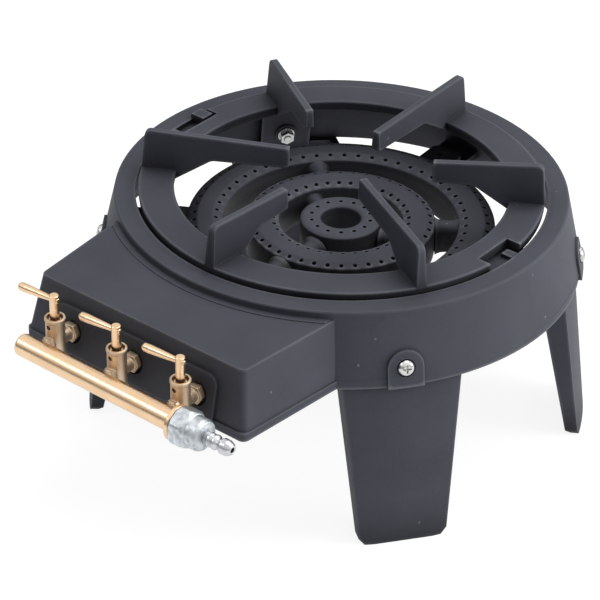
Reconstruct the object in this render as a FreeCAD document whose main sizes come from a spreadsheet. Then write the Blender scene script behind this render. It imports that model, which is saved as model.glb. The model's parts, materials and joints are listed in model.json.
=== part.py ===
# A free-standing cast-iron gas range with three ring burners, one inside the other.
# The drum and the box at its front are one casting on four splayed legs. Three brass
# cocks on a brass pipe feed three mixing tubes, and a grate with six fins carries the pot.
# Millimetres. +X is to the right, -Y is the front with the cocks, +Z is up, and the origin
# lies on the floor under the middle of the range.

import FreeCAD, Part
import math
import os
import re

import Sketcher

Vector = FreeCAD.Vector
Rotation = FreeCAD.Rotation
Placement = FreeCAD.Placement

# ---------------------------------------------------------------- driving sizes
SIZES = [
    # drum casting
    ("rim_height", 181.5, "top of the drum's rim above the floor"),
    ("rim_radius", 165.8, "outer radius of the rim"),
    ("rim_width", 15.5, "width of the rim's top"),
    ("rim_depth", 9.0, "how deep the thick rim goes before the wall begins"),
    ("rim_chamfer", 0.8, "bevel on the rim's outer edge"),
    ("drum_depth", 55.0, "rim top down to the drum's bottom edge"),
    ("wall", 6.0, "wall of the drum and box"),
    ("drum_flare", 10.8, "how much wider the wall is at the lip than at the rim"),
    ("lip_height", 6.5, "height of the lip"),
    ("lip_step", 0.8, "how far the lip stands out of the flared wall"),
    # box at the front
    ("box_drop", 5.4, "rim top down to the box top"),
    ("box_length", 54.2, "how far the box's top edge stands in front of the rim"),
    ("pad_side", 18.0, "from the pad's side to the box corner at its top edge"),
    ("box_root_in", 50.8, "how far inside the rim the box sides begin"),
    ("box_widening", 10.4, "how much wider the box is there, on each side"),
    ("box_flare", 9.0, "draft of the front and sides from top to bottom"),
    ("box_round", 5.0, "rounding of the upright corners at the box front"),
    ("box_collar", 171.5, "radius of the low step round the drum on the box top"),
    ("box_collar_rise", 0.6, "height of that step"),
    ("pad_margin", 16.0, "from the outer cocks to the side of the raised pad"),
    ("pad_above", 17.3, "gas line up to the top edge of that pad"),
    ("cock_pad_proud", 2.0, "how far the pad stands out of the front"),
    ("cock_pad_round", 7.5, "corner radius of the pad"),
    ("cock_seat_radius", 9.0, "radius of the round flat seat cut for each cock"),
    ("cock_seat_cut", 1.644, "how deep that seat is cut at the gas line"),
    ("nut_pad_radius", 10.0, "radius of the round pad inside the front"),
    ("nut_pad_thick", 2.744, "height of that pad at the gas line"),
    # seats for the grate and the burner
    ("seat_length", 12.3, "how far a grate seat stands inside the rim"),
    ("seat_width", 24.0, "width of a grate seat"),
    ("seat_depth", 8.0, "height of a grate seat"),
    ("notch_seat_length", 16.3, "how far the wide seats under the notches stand inside the rim"),
    ("notch_seat_width", 46.0, "width of those seats"),
    ("key_length", 10.3, "how far a locating key stands inside the rim"),
    ("right_key_near", 3.5, "middle of the drum to the near side of the right key"),
    ("right_key_far", 11.0, "middle of the drum to its far side"),
    ("right_key_drop", 1.0, "rim top down to the right key's top"),
    ("left_key_near", 7.5, "middle of the drum to the near side of the left key"),
    ("left_key_far", 18.5, "middle of the drum to its far side"),
    ("left_key_rise", 3.4, "rim top up to the left key's top"),
    ("shelf_gap", 12.5, "from the outer ring to the tip of a burner shelf"),
    ("shelf_width", 30.0, "width of a burner shelf"),
    ("shelf_depth", 6.0, "height of a burner shelf"),
    # grate
    ("grate_play", 1.7, "gap between the grate ring and the rim"),
    ("grate_width", 26.6, "width of the grate ring"),
    ("grate_rise", 4.1, "how far the ring stands above the rim"),
    ("grate_thick", 8.0, "thickness of the ring"),
    ("grate_draft", 1.0, "draft of the ring's edges"),
    ("notch_depth_play", 3.5, "gap between a key's tip and the bottom of its notch"),
    ("key_play", 1.0, "gap beside the left key in its notch"),
    ("key_slack", 4.0, "gap on the far side of the right key in its notch"),
    ("fin_long_tip", 39.0, "drum axis to the tip of a long fin"),
    ("fin_short_tip", 66.0, "drum axis to the tip of a short fin"),
    ("fin_set_in", 3.1, "how far a fin's outer top corner stays inside the ring's edge"),
    ("fin_corner", 4.5, "rounding of that corner"),
    ("fin_rise", 34.5, "rim top up to the highest edge of a fin"),
    ("fin_fall", 5.0, "how much lower the fin is at its tip"),
    ("fin_depth", 15.5, "depth of the blade at its tip"),
    ("fin_throat", 26.0, "from the ring to where the underside turns down"),
    ("fin_crest", 5.4, "thickness of a fin at its top"),
    ("fin_root", 9.2, "thickness of a fin at the ring"),
    # burner casting
    ("burner_drop", 24.7, "rim top down to the burner top"),
    ("ring_height", 26.0, "height of the burner rings"),
    ("ring_skin", 6.5, "thickness of a ring's top"),
    ("ring_wall", 3.0, "thickness of a ring's side walls"),
    ("port_radius", 1.65, "radius of a flame port"),
    ("outer_ring_out", 113.5, "outer radius of the outer ring"),
    ("outer_ring_in", 86.5, "inner radius of the outer ring"),
    ("outer_row_inset", 5.5, "from the outer ring's sides to its rows of ports"),
    ("middle_ring_out", 69.5, "outer radius of the middle ring"),
    ("middle_ring_in", 45.4, "inner radius of the middle ring"),
    ("middle_row_inset", 3.5, "from the middle ring's outside to its outer row of ports"),
    ("middle_inner_inset", 4.6, "from its inside to its inner row of ports"),
    ("core_ring_out", 30.0, "outer radius of the centre ring"),
    ("core_ring_in", 14.7, "inner radius of the centre ring"),
    ("core_row_inset", 7.3, "from the centre ring's inside to its row of ports"),
    ("bevel_wide", 8.0, "width of the bevels of the outer ring"),
    ("bevel_narrow", 6.5, "width of the bevels of the middle ring"),
    ("bevel_core", 2.5, "width of the bevels of the centre ring"),
    ("bevel_drop", 2.6, "height of the outer ring's bevels"),
    ("spoke_half", 6.5, "half width of the outer spokes, which is the radius of their backs"),
    ("spoke_drop", 4.0, "ring top down to the crest of the outer spokes"),
    ("inner_spoke_half", 6.5, "half width of the inner spokes"),
    ("inner_spoke_drop", 6.0, "ring top down to the crest of the inner spokes"),
    ("ear_end", 11.0, "from an ear's screw to the end of the ear"),
    ("ear_width", 26.0, "width of a burner ear"),
    ("ear_thick", 6.0, "thickness of a burner ear"),
    ("ear_below", 11.8, "burner top down to an ear's top face"),
    ("ear_screw_out", 25.5, "from the outer ring to an ear's screw"),
    ("cover_thick", 2.5, "thickness of the plates that close the rings"),
    ("cover_inset", 1.5, "how far a plate stays inside its ring"),
    ("socket_wall", 3.5, "wall of a plate's socket round its tube"),
    ("socket_depth", 3.0, "height of the socket under the plate"),
    # mixing tubes
    ("tube_radius", 9.0, "outer radius of a mixing tube"),
    ("tube_wall", 2.0, "wall of a mixing tube"),
    ("tube_bend", 10.0, "bend radius of a mixing tube"),
    ("tube_drop", 32.0, "how far a mixing tube dips under the rings"),
    ("tube_straight", 40.0, "from the bell's plate to where the tube starts to dip"),
    ("bell_widening", 7.0, "how much wider the bell is than its tube"),
    ("bell_length", 11.0, "length of the round part of the bell"),
    ("bell_taper", 9.0, "length of the tapered part of the bell"),
    ("bell_plate", 3.0, "thickness of the bell's front plate"),
    ("bell_stand", 10.0, "from the outlet's end to the back of the bell's plate"),
    ("spigot_wall", 2.3, "wall of the spigot that the air shutter turns on"),
    ("spigot_length", 4.0, "length of that spigot"),
    ("jet_room", 1.2, "room round the jet's tip in the spigot"),
    ("window_margin", 3.7, "from the bell's outside to an air window"),
    ("window_foot", 1.5, "from the spigot to an air window"),
    ("window_angle", 58.0, "angle of an air window in degrees"),
    ("shutter_set_in", 1.0, "how far the air shutter stays inside the bell's edge"),
    ("shutter_thick", 1.5, "thickness of the air shutter"),
    ("shutter_tab", 7.0, "length of the finger tab on the shutter"),
    ("clip_thick", 0.8, "thickness of the clip that keeps the shutter on"),
    ("clip_width", 1.1, "width of that clip"),
    # legs
    ("leg_front_right_angle", 36.9, "angle between that leg and the X axis in degrees"),
    ("leg_back_right_angle", 31.8, "angle between that leg and the X axis in degrees"),
    ("leg_back_left_angle", 36.2, "angle between that leg and the X axis in degrees"),
    ("leg_front_left_angle", 39.0, "angle between that leg and the X axis in degrees"),
    ("leg_splay", 15.6, "how much further out the foot is than the leg's top"),
    ("leg_set_in", 3.9, "how far the leg's outside stays inside the lip"),
    ("leg_top_half", 43.0, "half width of the leg at its top"),
    ("leg_gap", 0.6, "gap between a leg's shoulder and the drum"),
    ("leg_foot_half", 32.0, "half width of the leg at the floor"),
    ("leg_wall", 6.0, "thickness of the leg"),
    ("leg_top_depth", 23.0, "depth of the side flanges at the top"),
    ("leg_foot_depth", 12.5, "depth of the side flanges at the floor"),
    ("leg_toe", 5.0, "corner cut at the foot"),
    ("foot_back_cut", 4.0, "corner cut at the back of the foot"),
    ("foot_face_cut", 1.2, "corner cut at the front of the foot"),
    ("tab_half", 20.0, "half width of the tab inside the drum"),
    ("tab_rise", 34.0, "height of the tab above the drum's bottom edge"),
    ("tab_root", 14.0, "how far the tab runs down behind the leg"),
    ("arch_half", 13.0, "half width of the arched pad round a leg screw"),
    ("arch_proud", 2.0, "how far that pad stands out of the wall"),
    ("leg_seat_cut", 0.8, "how deep the flat seat of a leg screw is cut"),
    ("leg_screw_drop", 41.0, "rim top down to a leg screw"),
    ("leg_screw_radius", 3.0, "radius of a leg screw"),
    ("leg_screw_head", 5.8, "radius of its pan head"),
    ("leg_head_height", 3.8, "height of its pan head"),
    ("leg_nut_half", 5.0, "half the width across flats of its nut"),
    ("leg_nut_height", 4.6, "height of its nut"),
    ("washer_radius", 6.6, "outer radius of its washer"),
    ("washer_thick", 1.4, "thickness of its washer"),
    ("boss_radius", 8.5, "radius of the boss behind the tab"),
    ("boss_proud", 2.0, "height of that boss"),
    ("ear_screw_radius", 3.0, "radius of a burner screw"),
    ("ear_head_half", 5.0, "half the width across flats of its head and nut"),
    ("ear_head_height", 4.0, "height of its head"),
    # cocks
    ("port_drop", 34.3, "rim top down to the gas line"),
    ("cock_pitch", 57.0, "distance from cock to cock"),
    ("cock_stand", 17.4, "from the flat seat to the cock's axis"),
    ("barrel_radius", 6.8, "outer radius of the cock's barrel"),
    ("barrel_top", 19.8, "gas line up to the barrel's rim"),
    ("barrel_base", 16.0, "gas line down to the barrel's bottom"),
    ("barrel_rim_proud", 0.6, "how far the barrel's rim stands out"),
    ("barrel_rim_height", 2.5, "height of the rim"),
    ("recess_wall", 1.1, "wall round the recess in the barrel's top"),
    ("recess_depth", 3.2, "depth of that recess"),
    ("plug_radius", 4.55, "radius of the turning plug"),
    ("plug_sunk", 6.4, "barrel's rim down to the plug's shoulder"),
    ("plug_floor", 3.5, "barrel's bottom up to the plug's end"),
    ("stem_radius", 3.35, "radius of the stem"),
    ("stem_rise", 17.7, "barrel's rim up to the stem's end"),
    ("stem_chamfer", 0.5, "bevel at the stem's end"),
    ("gas_bore", 2.2, "radius of the gas way"),
    ("neck_radius", 4.9, "radius of the cock's inlet and outlet necks"),
    ("outlet_length", 33.0, "cock axis to the end of the outlet"),
    ("cock_hex_wall", 1.6, "from the neck to the flats of the outlet hexagon and the lock nut"),
    ("cock_hex_length", 5.0, "length of that hexagon"),
    ("inlet_hex_wall", 0.7, "from the neck to the flats of the inlet hexagon and the jet"),
    ("inlet_hex_start", 5.8, "cock axis to the inlet hexagon"),
    ("inlet_hex_length", 3.2, "length of the inlet hexagon"),
    ("grub_radius", 1.8, "radius of the grub screw hole in the barrel"),
    ("grub_drop", 6.0, "barrel's rim down to that hole"),
    ("gland_height", 4.2, "height of the gland round the stem"),
    ("lock_nut_thick", 3.6, "thickness of the lock nut"),
    ("jet_hex_length", 5.0, "length of its hexagon"),
    ("jet_tip_radius", 3.0, "radius of its tip"),
    ("jet_tip_length", 2.6, "length of its tip"),
    ("jet_hole", 0.6, "radius of the jet's hole"),
    ("jet_overlap", 2.2, "how far the jet is screwed on to the outlet"),
    # levers
    ("lever_length", 33.0, "stem axis to the lever's tip"),
    ("lever_drop", 3.9, "stem's end down to where the lever meets the stem"),
    ("lever_droop", 4.0, "slope of the lever in degrees"),
    ("lever_root", 1.9, "radius of the lever in the stem"),
    ("lever_tip", 3.2, "radius of the lever's tip"),
    # manifold
    ("manifold_stand", 18.0, "cock's axis to the manifold's axis"),
    ("manifold_radius", 8.2, "outer radius of the manifold pipe"),
    ("manifold_wall", 1.8, "wall of the manifold pipe"),
    ("pipe_left", 15.5, "from the left cock to the closed end of the pipe"),
    ("pipe_in_union", 5.7, "how far the pipe's open end goes into the union nut"),
    ("stopper_length", 5.0, "length of the stopper in the closed end"),
    ("collar_right", 10.8, "from the right cock to the collar"),
    ("collar_length", 3.7, "length of the collar"),
    ("collar_proud", 4.5, "how far the collar stands out of the pipe"),
    ("union_gap", 0.8, "gap between the collar and the union nut"),
    ("union_corner", 1.3, "how far the nut's rounded corners stand out of its flats"),
    ("union_wall", 4.4, "from the pipe to the flats of the union nut"),
    ("union_length", 22.7, "length of the union nut"),
    ("nut_hex_length", 9.4, "length of the union nut's hexagon"),
    ("nut_chamfer", 3.2, "length of the bevel behind the hexagon"),
    ("nut_step", 1.7, "from the flats in to the round part of the nut"),
    ("nut_nose_length", 2.4, "length of the bevel at the nut's nose"),
    ("nose_width", 2.6, "width of the union nut's nose round the nipple"),
    ("seal_thick", 1.5, "thickness of the fibre seal"),
    ("nipple_flange", 3.0, "thickness of the nipple's flange"),
    ("nipple_shank", 4.4, "radius of the nipple's shank"),
    ("ridge_proud", 0.7, "how far the small ridges stand out"),
    ("bulb_proud", 1.2, "how far the bulb that the hose grips stands out"),
    ("nipple_bore", 1.9, "bore of the nipple"),
    ("nipple_length", 22.5, "from the union nut to the nipple's end"),
    # clearances
    ("running_gap", 0.05, "radial play of a plug, stem, shutter or union"),
    ("seating_gap", 0.05, "radial play of a piece seated in a hole"),
    ("screw_gap", 0.25, "radial play round a screw"),
    ("tab_gap", 0.2, "play between a leg's tab and the drum"),
]

# sizes that follow from others, so that pieces which meet stay together
TIED = [
    ("rim_inner", "rim_radius - rim_width", "inner radius of the rim"),
    ("lip_radius", "rim_radius + drum_flare + lip_step",
     "outer radius of the lip at the drum's bottom edge"),
    ("box_reach", "rim_radius + box_length", "drum axis to the box front at its top edge"),
    ("box_root", "rim_radius - box_root_in", "drum axis to the plane where the box sides begin"),
    ("cock_pad_half", "cock_pitch + pad_margin", "half width of the raised pad that carries the cocks"),
    ("cock_pad_top", "port_drop - pad_above", "rim top down to the top edge of that pad"),
    ("seat_reach", "rim_inner - seat_length", "drum axis to the tip of a grate seat"),
    ("notch_seat_reach", "rim_inner - notch_seat_length",
     "drum axis to the tip of the wide seats under the notches"),
    ("key_reach", "rim_inner - key_length", "drum axis to the tip of a locating key"),
    ("shelf_reach", "outer_ring_out + shelf_gap", "drum axis to the tip of a burner shelf"),
    ("grate_outer", "rim_inner - grate_play", "outer radius of the grate ring"),
    ("grate_inner", "grate_outer - grate_width", "inner radius of the grate ring"),
    ("notch_reach", "key_reach - notch_depth_play", "drum axis to the bottom of a notch in the ring"),
    ("notch_near", "left_key_far + key_play", "middle of the drum to the near side of a notch"),
    ("notch_far", "right_key_far + key_slack", "middle of the drum to the far side of the right notch"),
    ("fin_shoulder", "grate_outer - fin_set_in", "drum axis to the outer top corner of a fin"),
    ("fin_bend", "grate_inner - fin_throat", "drum axis to where the underside turns down"),
    ("outer_row_out", "outer_ring_out - outer_row_inset", "radius of its outer row of ports"),
    ("outer_row_in", "outer_ring_in + outer_row_inset", "radius of its inner row of ports"),
    ("middle_row_out", "middle_ring_out - middle_row_inset", "radius of its outer row of ports"),
    ("middle_row_in", "middle_ring_in + middle_inner_inset", "radius of its inner row of ports"),
    ("core_row", "core_ring_in + core_row_inset", "radius of its row of ports"),
    ("ear_drop", "burner_drop + ear_below", "rim top down to the ear's top face"),
    ("ear_screw_reach", "outer_ring_out + ear_screw_out", "drum axis to the ear's screw"),
    ("socket_radius", "tube_radius + socket_wall", "outer radius of a plate's socket"),
    ("bell_radius", "tube_radius + bell_widening", "outer radius of the tube's bell mouth"),
    ("spigot_bore", "jet_tip_radius + jet_room", "bore of the spigot"),
    ("window_out", "bell_radius - window_margin", "outer radius of an air window"),
    ("shutter_radius", "bell_radius - shutter_set_in", "radius of the air shutter"),
    ("leg_top_radius", "lip_radius - leg_set_in", "drum axis to the outside of the leg at its top"),
    ("port_height", "rim_height - port_drop", "gas line above the floor"),
    ("barrel_rim", "barrel_radius + barrel_rim_proud", "outer radius of the barrel's rim"),
    ("recess_radius", "barrel_radius - recess_wall", "radius of the recess in the barrel's top"),
    ("plug_top", "barrel_top - plug_sunk", "gas line up to the plug's shoulder"),
    ("plug_base", "barrel_base - plug_floor", "gas line down to the plug's end"),
    ("stem_top", "barrel_top + stem_rise", "gas line up to the stem's end"),
    ("cock_hex_half", "neck_radius + cock_hex_wall", "half the width across flats of the outlet hexagon"),
    ("inlet_hex_half", "neck_radius + inlet_hex_wall", "half the width across flats of the inlet hexagon"),
    ("lock_nut_half", "neck_radius + cock_hex_wall", "half the width across flats of the lock nut"),
    ("jet_hex_half", "neck_radius + inlet_hex_wall", "half the width across flats of the jet"),
    ("grub_height", "barrel_top - grub_drop", "gas line up to that hole"),
    ("lever_height", "stem_top - lever_drop", "gas line up to where the lever meets the stem"),
    ("manifold_left", "cock_pitch + pipe_left", "middle to the closed end of the pipe"),
    ("collar_start", "cock_pitch + collar_right", "middle to the collar"),
    ("collar_radius", "manifold_radius + collar_proud", "outer radius of the collar"),
    ("union_start", "collar_start + collar_length + union_gap", "middle to the union nut"),
    ("union_half", "manifold_radius + union_wall", "half the width across flats of the union nut"),
    ("union_end", "union_start + union_length", "middle to the end of the union nut"),
    ("union_nose", "nipple_shank + nose_width", "radius of the union nut's nose"),
    ("nipple_ridge", "nipple_shank + ridge_proud", "radius of the small ridges"),
    ("nipple_bulb", "nipple_shank + bulb_proud", "radius of the bulb that the hose grips"),
    ("nipple_end", "union_end + nipple_length", "middle to the nipple's end"),
    ("front_reach", "box_reach + box_flare * (port_drop - box_drop) / (drum_depth - box_drop)",
     "drum axis to the box front at the gas line"),
    ("box_front_half", "cock_pad_half + pad_side", "half width of the box front at its top edge"),
    ("box_root_half", "box_front_half + box_widening", "half width of the box at that plane"),
    ("cock_seat_reach", "front_reach + cock_pad_proud - cock_seat_cut",
     "drum axis to the flat seats of the cocks"),
    ("nut_pad_reach", "front_reach - wall - nut_pad_thick", "drum axis to the round pad's flat face"),
    ("ear_reach", "ear_screw_reach + ear_end", "drum axis to the end of a burner ear"),
    ("spigot_radius", "spigot_bore + spigot_wall", "radius of the spigot that the air shutter turns on"),
    ("window_in", "spigot_radius + window_foot", "inner radius of an air window"),
    ("clip_radius", "spigot_radius + clip_width", "outer radius of that clip"),
    ("leg_foot_radius", "leg_top_radius + leg_splay", "drum axis to the outside of the foot"),
    ("cock_reach", "cock_seat_reach + cock_stand", "drum axis to the cock's axis"),
    ("manifold_reach", "cock_reach + manifold_stand", "drum axis to the manifold's axis"),
    ("manifold_right", "union_start + pipe_in_union", "middle to the open end of the pipe"),
    ("union_radius", "union_half + union_corner", "outer radius of the union nut"),
    ("bell_reach", "cock_reach - outlet_length - bell_stand", "drum axis to the back of that plate"),
    ("tube_dip_reach", "bell_reach - tube_straight", "drum axis to where the tube starts to dip"),
]
ALIASES = {alias for alias, value, note in SIZES + TIED}

FIN_ANGLES = {"fin_long_tip": (-150, -30, 90), "fin_short_tip": (30, 150, -90)}
OUTER_SPOKES = (40, 140, -90)
INNER_SPOKES = (25, 155, -90)
SEAT_ANGLES = (60, 120, -60, -120)
EAR_ANGLES = (94, -150, -30)
SCREWED_EARS = (-150, -30)
PORT_COUNTS = {"outer_row_out": 60, "outer_row_in": 54, "middle_row_out": 42,
               "middle_row_in": 36, "core_row": 14}
SIDES = {"left": -1, "center": 0, "right": 1}

TO_X = Rotation(Vector(0, 1, 0), 90)
TO_BACK = Rotation(Vector(1, 0, 0), -90)
TO_FRONT = Rotation(Vector(1, 0, 0), 90)

doc = FreeCAD.newDocument("GasRange")
sheet = doc.addObject("Spreadsheet::Sheet", "Sizes")
CELLS = [(alias, str(value), note) for alias, value, note in SIZES]
CELLS += [(alias, "=" + rule, note) for alias, rule, note in TIED]
for row, (alias, content, note) in enumerate(CELLS, start=1):
    sheet.set("A%d" % row, note)
    sheet.set("B%d" % row, content)
    sheet.setAlias("B%d" % row, alias)
doc.recompute()

nodes = []


# ---------------------------------------------------------------- helpers
def size(alias):
    """The number that a cell of the sheet holds."""
    return float(sheet.get(alias))


def formula(text):
    """Turn the names of sizes in a formula into references to the sheet."""
    def reference(word):
        name = word.group()
        return "Sizes." + name if name in ALIASES else name
    return re.sub(r"[a-z_]+", reference, str(text))


def bind(thing, bindings):
    """Tie properties of an object to formulas of the sizes."""
    for name, text in bindings.items():
        thing.setExpression(name, formula(text))
    return thing


def move(thing, x="0", y="0", z="0", turn=None):
    """Turn an object and tie its place to formulas."""
    if turn is not None:
        thing.Placement = Placement(Vector(), turn)
    return bind(thing, {"Placement.Base.x": x, "Placement.Base.y": y, "Placement.Base.z": z})


def solid(kind, name, sizes, x="0", y="0", z="0", turn=None):
    """A primitive solid with its sizes and its place tied to formulas."""
    return move(bind(doc.addObject("Part::" + kind, name), sizes), x, y, z, turn)


def cylinder(name, radius, length, x="0", y="0", z="0", turn=None):
    return solid("Cylinder", name, {"Radius": radius, "Height": length}, x, y, z, turn)


def cone(name, start, end, length, x="0", y="0", z="0", turn=None):
    return solid("Cone", name, {"Radius1": start, "Radius2": end, "Height": length}, x, y, z, turn)


def block(name, x_range, y_range, z_range):
    """A box between pairs of formulas along X, Y and Z."""
    spans = ["(%s) - (%s)" % (high, low) for low, high in (x_range, y_range, z_range)]
    sizes = dict(zip(("Length", "Width", "Height"), spans))
    return solid("Box", name, sizes, x_range[0], y_range[0], z_range[0])


def hexagon(name, half_flats, length, x="0", y="0", z="0", turn=None):
    """A hexagonal prism given by half its width across flats."""
    prism = solid("Prism", name, {"Circumradius": "(%s) / cos(30)" % half_flats, "Height": length},
                  x, y, z, turn)
    prism.Polygon = 6
    return prism


def fuse(name, parts):
    union = doc.addObject("Part::MultiFuse", name)
    union.Shapes = parts
    return union


def common(name, parts):
    shared = doc.addObject("Part::MultiCommon", name)
    shared.Shapes = parts
    return shared


def group(name, parts):
    """Separate solids that stay separate but share one node."""
    compound = doc.addObject("Part::Compound", name)
    compound.Links = parts
    return compound


def cut(name, base, tools):
    """A base with one or more tools taken away."""
    tool = tools[0] if len(tools) == 1 else fuse(name + "_tools", tools)
    result = doc.addObject("Part::Cut", name)
    result.Base = base
    result.Tool = tool
    return result


def turned(thing, angle):
    """Turn an object about the drum axis, together with the place it already has."""
    holder = group(thing.Name + "_turned", [thing])
    holder.Placement = Placement(Vector(), Rotation(Vector(0, 0, 1), angle))
    return holder


def origin_plane(body, role):
    for feature in body.Origin.OriginFeatures:
        if feature.Role == role:
            return feature
    raise ValueError(role)


def attached_sketch(body, name, plane, lift="0"):
    """An empty sketch on one of a body's own planes, lifted along its normal."""
    sketch = body.newObject("Sketcher::SketchObject", name)
    sketch.AttachmentSupport = [(origin_plane(body, plane), "")]
    sketch.MapMode = "FlatFace"
    return bind(sketch, {"AttachmentOffset.Base.z": lift})


def outline(body, name, plane, points, lift="0"):
    """A closed outline whose corners are pairs of formulas."""
    sketch = attached_sketch(body, name, plane, lift)
    count = len(points)
    start = [Vector(100 * math.cos(0.3 + i * math.tau / count),
                    100 * math.sin(0.3 + i * math.tau / count), 0) for i in range(count)]
    for i in range(count):
        sketch.addGeometry(Part.LineSegment(start[i], start[(i + 1) % count]), False)
    for i in range(count):
        sketch.addConstraint(Sketcher.Constraint("Coincident", i, 2, (i + 1) % count, 1))
    for i, corner in enumerate(points):
        for kind, place, text in zip(("DistanceX", "DistanceY"), start[i], corner):
            index = sketch.addConstraint(Sketcher.Constraint(kind, -1, 1, i, 1, place))
            bind(sketch, {"Constraints[%d]" % index: text})
    return sketch


def revolved(name, points, plane="XZ_Plane", axis="V_Axis"):
    """A body turned from an outline of radii and heights."""
    body = doc.addObject("PartDesign::Body", name)
    feature_sketch = outline(body, name + "_outline", plane, points)
    feature = body.newObject("PartDesign::Revolution", name + "_turned")
    feature.Profile = feature_sketch
    feature.ReferenceAxis = (feature_sketch, [axis])
    feature.Angle = 360
    body.Tip = feature
    return body


def padded(name, plane, points, length, lift="0", taper="0"):
    """A body padded from an outline, with sides that lean by a taper angle."""
    body = doc.addObject("PartDesign::Body", name)
    feature_sketch = outline(body, name + "_outline", plane, points, lift)
    feature = body.newObject("PartDesign::Pad", name + "_pad")
    feature.Profile = feature_sketch
    bind(feature, {"Length": length, "TaperAngle": taper})
    body.Tip = feature
    return body


def lofted(name, low_points, high_points, low, high):
    """A body lofted between two level outlines with as many corners."""
    body = doc.addObject("PartDesign::Body", name)
    low_sketch = outline(body, name + "_low", "XY_Plane", low_points, low)
    high_sketch = outline(body, name + "_high", "XY_Plane", high_points, high)
    feature = body.newObject("PartDesign::AdditiveLoft", name + "_loft")
    feature.Profile = low_sketch
    feature.Sections = [high_sketch]
    feature.Ruled = True
    body.Tip = feature
    return body


def drill_row(body, name, radius, count, top, depth):
    """Flame ports: one pocket repeated in a circle."""
    sketch = attached_sketch(body, name + "_port", "XY_Plane", top)
    sketch.addGeometry(Part.Circle(Vector(60, 0, 0), Vector(0, 0, 1), 2), False)
    sketch.addConstraint(Sketcher.Constraint("PointOnObject", 0, 3, -1))
    across = sketch.addConstraint(Sketcher.Constraint("DistanceX", -1, 1, 0, 3, 60))
    width = sketch.addConstraint(Sketcher.Constraint("Radius", 0, 2))
    bind(sketch, {"Constraints[%d]" % across: radius, "Constraints[%d]" % width: "port_radius"})
    pocket = body.newObject("PartDesign::Pocket", name + "_pocket")
    pocket.Profile = sketch
    bind(pocket, {"Length": depth})
    pattern = body.newObject("PartDesign::PolarPattern", name + "_row")
    pattern.Originals = [pocket]
    pattern.Axis = (sketch, ["N_Axis"])
    pattern.Angle = 360
    pattern.Occurrences = count
    body.Tip = pattern


def node(thing, label, x="0", y="0", z="0", turn=None):
    """Finish a piece: its name, its place, and its entry in the list of pieces."""
    thing.Label = label
    move(thing, x, y, z, turn)
    nodes.append(thing)
    return thing


# ---------------------------------------------------------------- places that pieces share
DRUM_Y = "(manifold_reach + collar_radius - lip_radius) / 2"
BASE_Z = "(rim_height - drum_depth)"
LEG_TOP = "(rim_height - drum_depth - leg_gap)"
BOX_TOP = "(rim_height - box_drop)"
BURNER_TOP = "(rim_height - burner_drop)"
RING_BASE = "(rim_height - burner_drop - ring_height)"
GRATE_TOP = "(rim_height + grate_rise)"
GRATE_BASE = "(rim_height + grate_rise - grate_thick)"
EAR_TOP = "(rim_height - ear_drop)"
SHELF_TOP = "(rim_height - ear_drop - ear_thick)"
WALL_FALL = "(drum_depth - lip_height)"
WALL_FLARE = "(lip_radius - lip_step - rim_radius)"
COCK_Y = "(%s - cock_reach)" % DRUM_Y
MANIFOLD_Y = "(%s - manifold_reach)" % DRUM_Y


def wall_radius(depth):
    """Outer radius of the drum's flared wall at a depth below the rim top."""
    return "(rim_radius + %s * (%s) / %s)" % (WALL_FLARE, depth, WALL_FALL)


def inner_radius(depth):
    """Inner radius of the drum's wall at a depth below the rim top."""
    start = "(%s - wall)" % wall_radius("rim_depth")
    slope = "(lip_radius - wall - %s) / (drum_depth - rim_depth)" % start
    return "(%s + ((%s) - rim_depth) * %s)" % (start, depth, slope)


def wall_tilt():
    """Angle of the flared wall from upright, in degrees."""
    flare = size("lip_radius") - size("lip_step") - size("rim_radius")
    return math.degrees(math.atan2(flare, size("drum_depth") - size("lip_height")))


def screw_frame(angle):
    """Place of a leg screw: Z points out of the wall, square to it."""
    depth = size("leg_screw_drop")
    tilt = wall_tilt()
    reach = size("rim_radius") + depth * math.tan(math.radians(tilt))
    turn = Rotation(Vector(0, 0, 1), angle).multiply(Rotation(Vector(0, 1, 0), 90 - tilt))
    aim = Rotation(Vector(0, 0, 1), angle).multVec(Vector(reach, 0, 0))
    return Placement(aim + Vector(0, 0, size("rim_height") - depth), turn)


def framed(thing, frame):
    """Give an object that is built along Z the place of a leg screw."""
    holder = group(thing.Name + "_framed", [thing])
    holder.Placement = frame
    return holder


# leg screw stack, measured square to the drum's wall, outwards positive
TILT = "atan(%s / %s)" % (WALL_FLARE, WALL_FALL)
SEAT_OUT = "(arch_proud * cos(%s) - leg_seat_cut)" % TILT
BOSS_FACE = "((wall + tab_gap + leg_wall) * cos(%s) + boss_proud)" % TILT


# ---------------------------------------------------------------- drum casting
def drum_shell():
    return revolved("drum_shell", [
        ("rim_inner", "rim_height"),
        ("rim_radius - rim_chamfer", "rim_height"),
        ("rim_radius", "rim_height - rim_chamfer"),
        ("lip_radius - lip_step", BASE_Z + " + lip_height"),
        ("lip_radius - lip_step / 2", BASE_Z + " + lip_height - lip_step / 2"),
        ("lip_radius", BASE_Z),
        ("lip_radius - wall", BASE_Z),
        (wall_radius("rim_depth") + " - wall", "rim_height - rim_depth"),
        ("rim_inner", "rim_height - rim_depth"),
    ])


def drum_hollow():
    return revolved("drum_hollow", [
        ("0", "rim_height + 1"),
        ("rim_inner", "rim_height + 1"),
        ("rim_inner", "rim_height - rim_depth"),
        (wall_radius("rim_depth") + " - wall", "rim_height - rim_depth"),
        ("lip_radius - wall", BASE_Z),
        ("lip_radius - wall", BASE_Z + " - 1"),
        ("0", BASE_Z + " - 1"),
    ])


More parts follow.
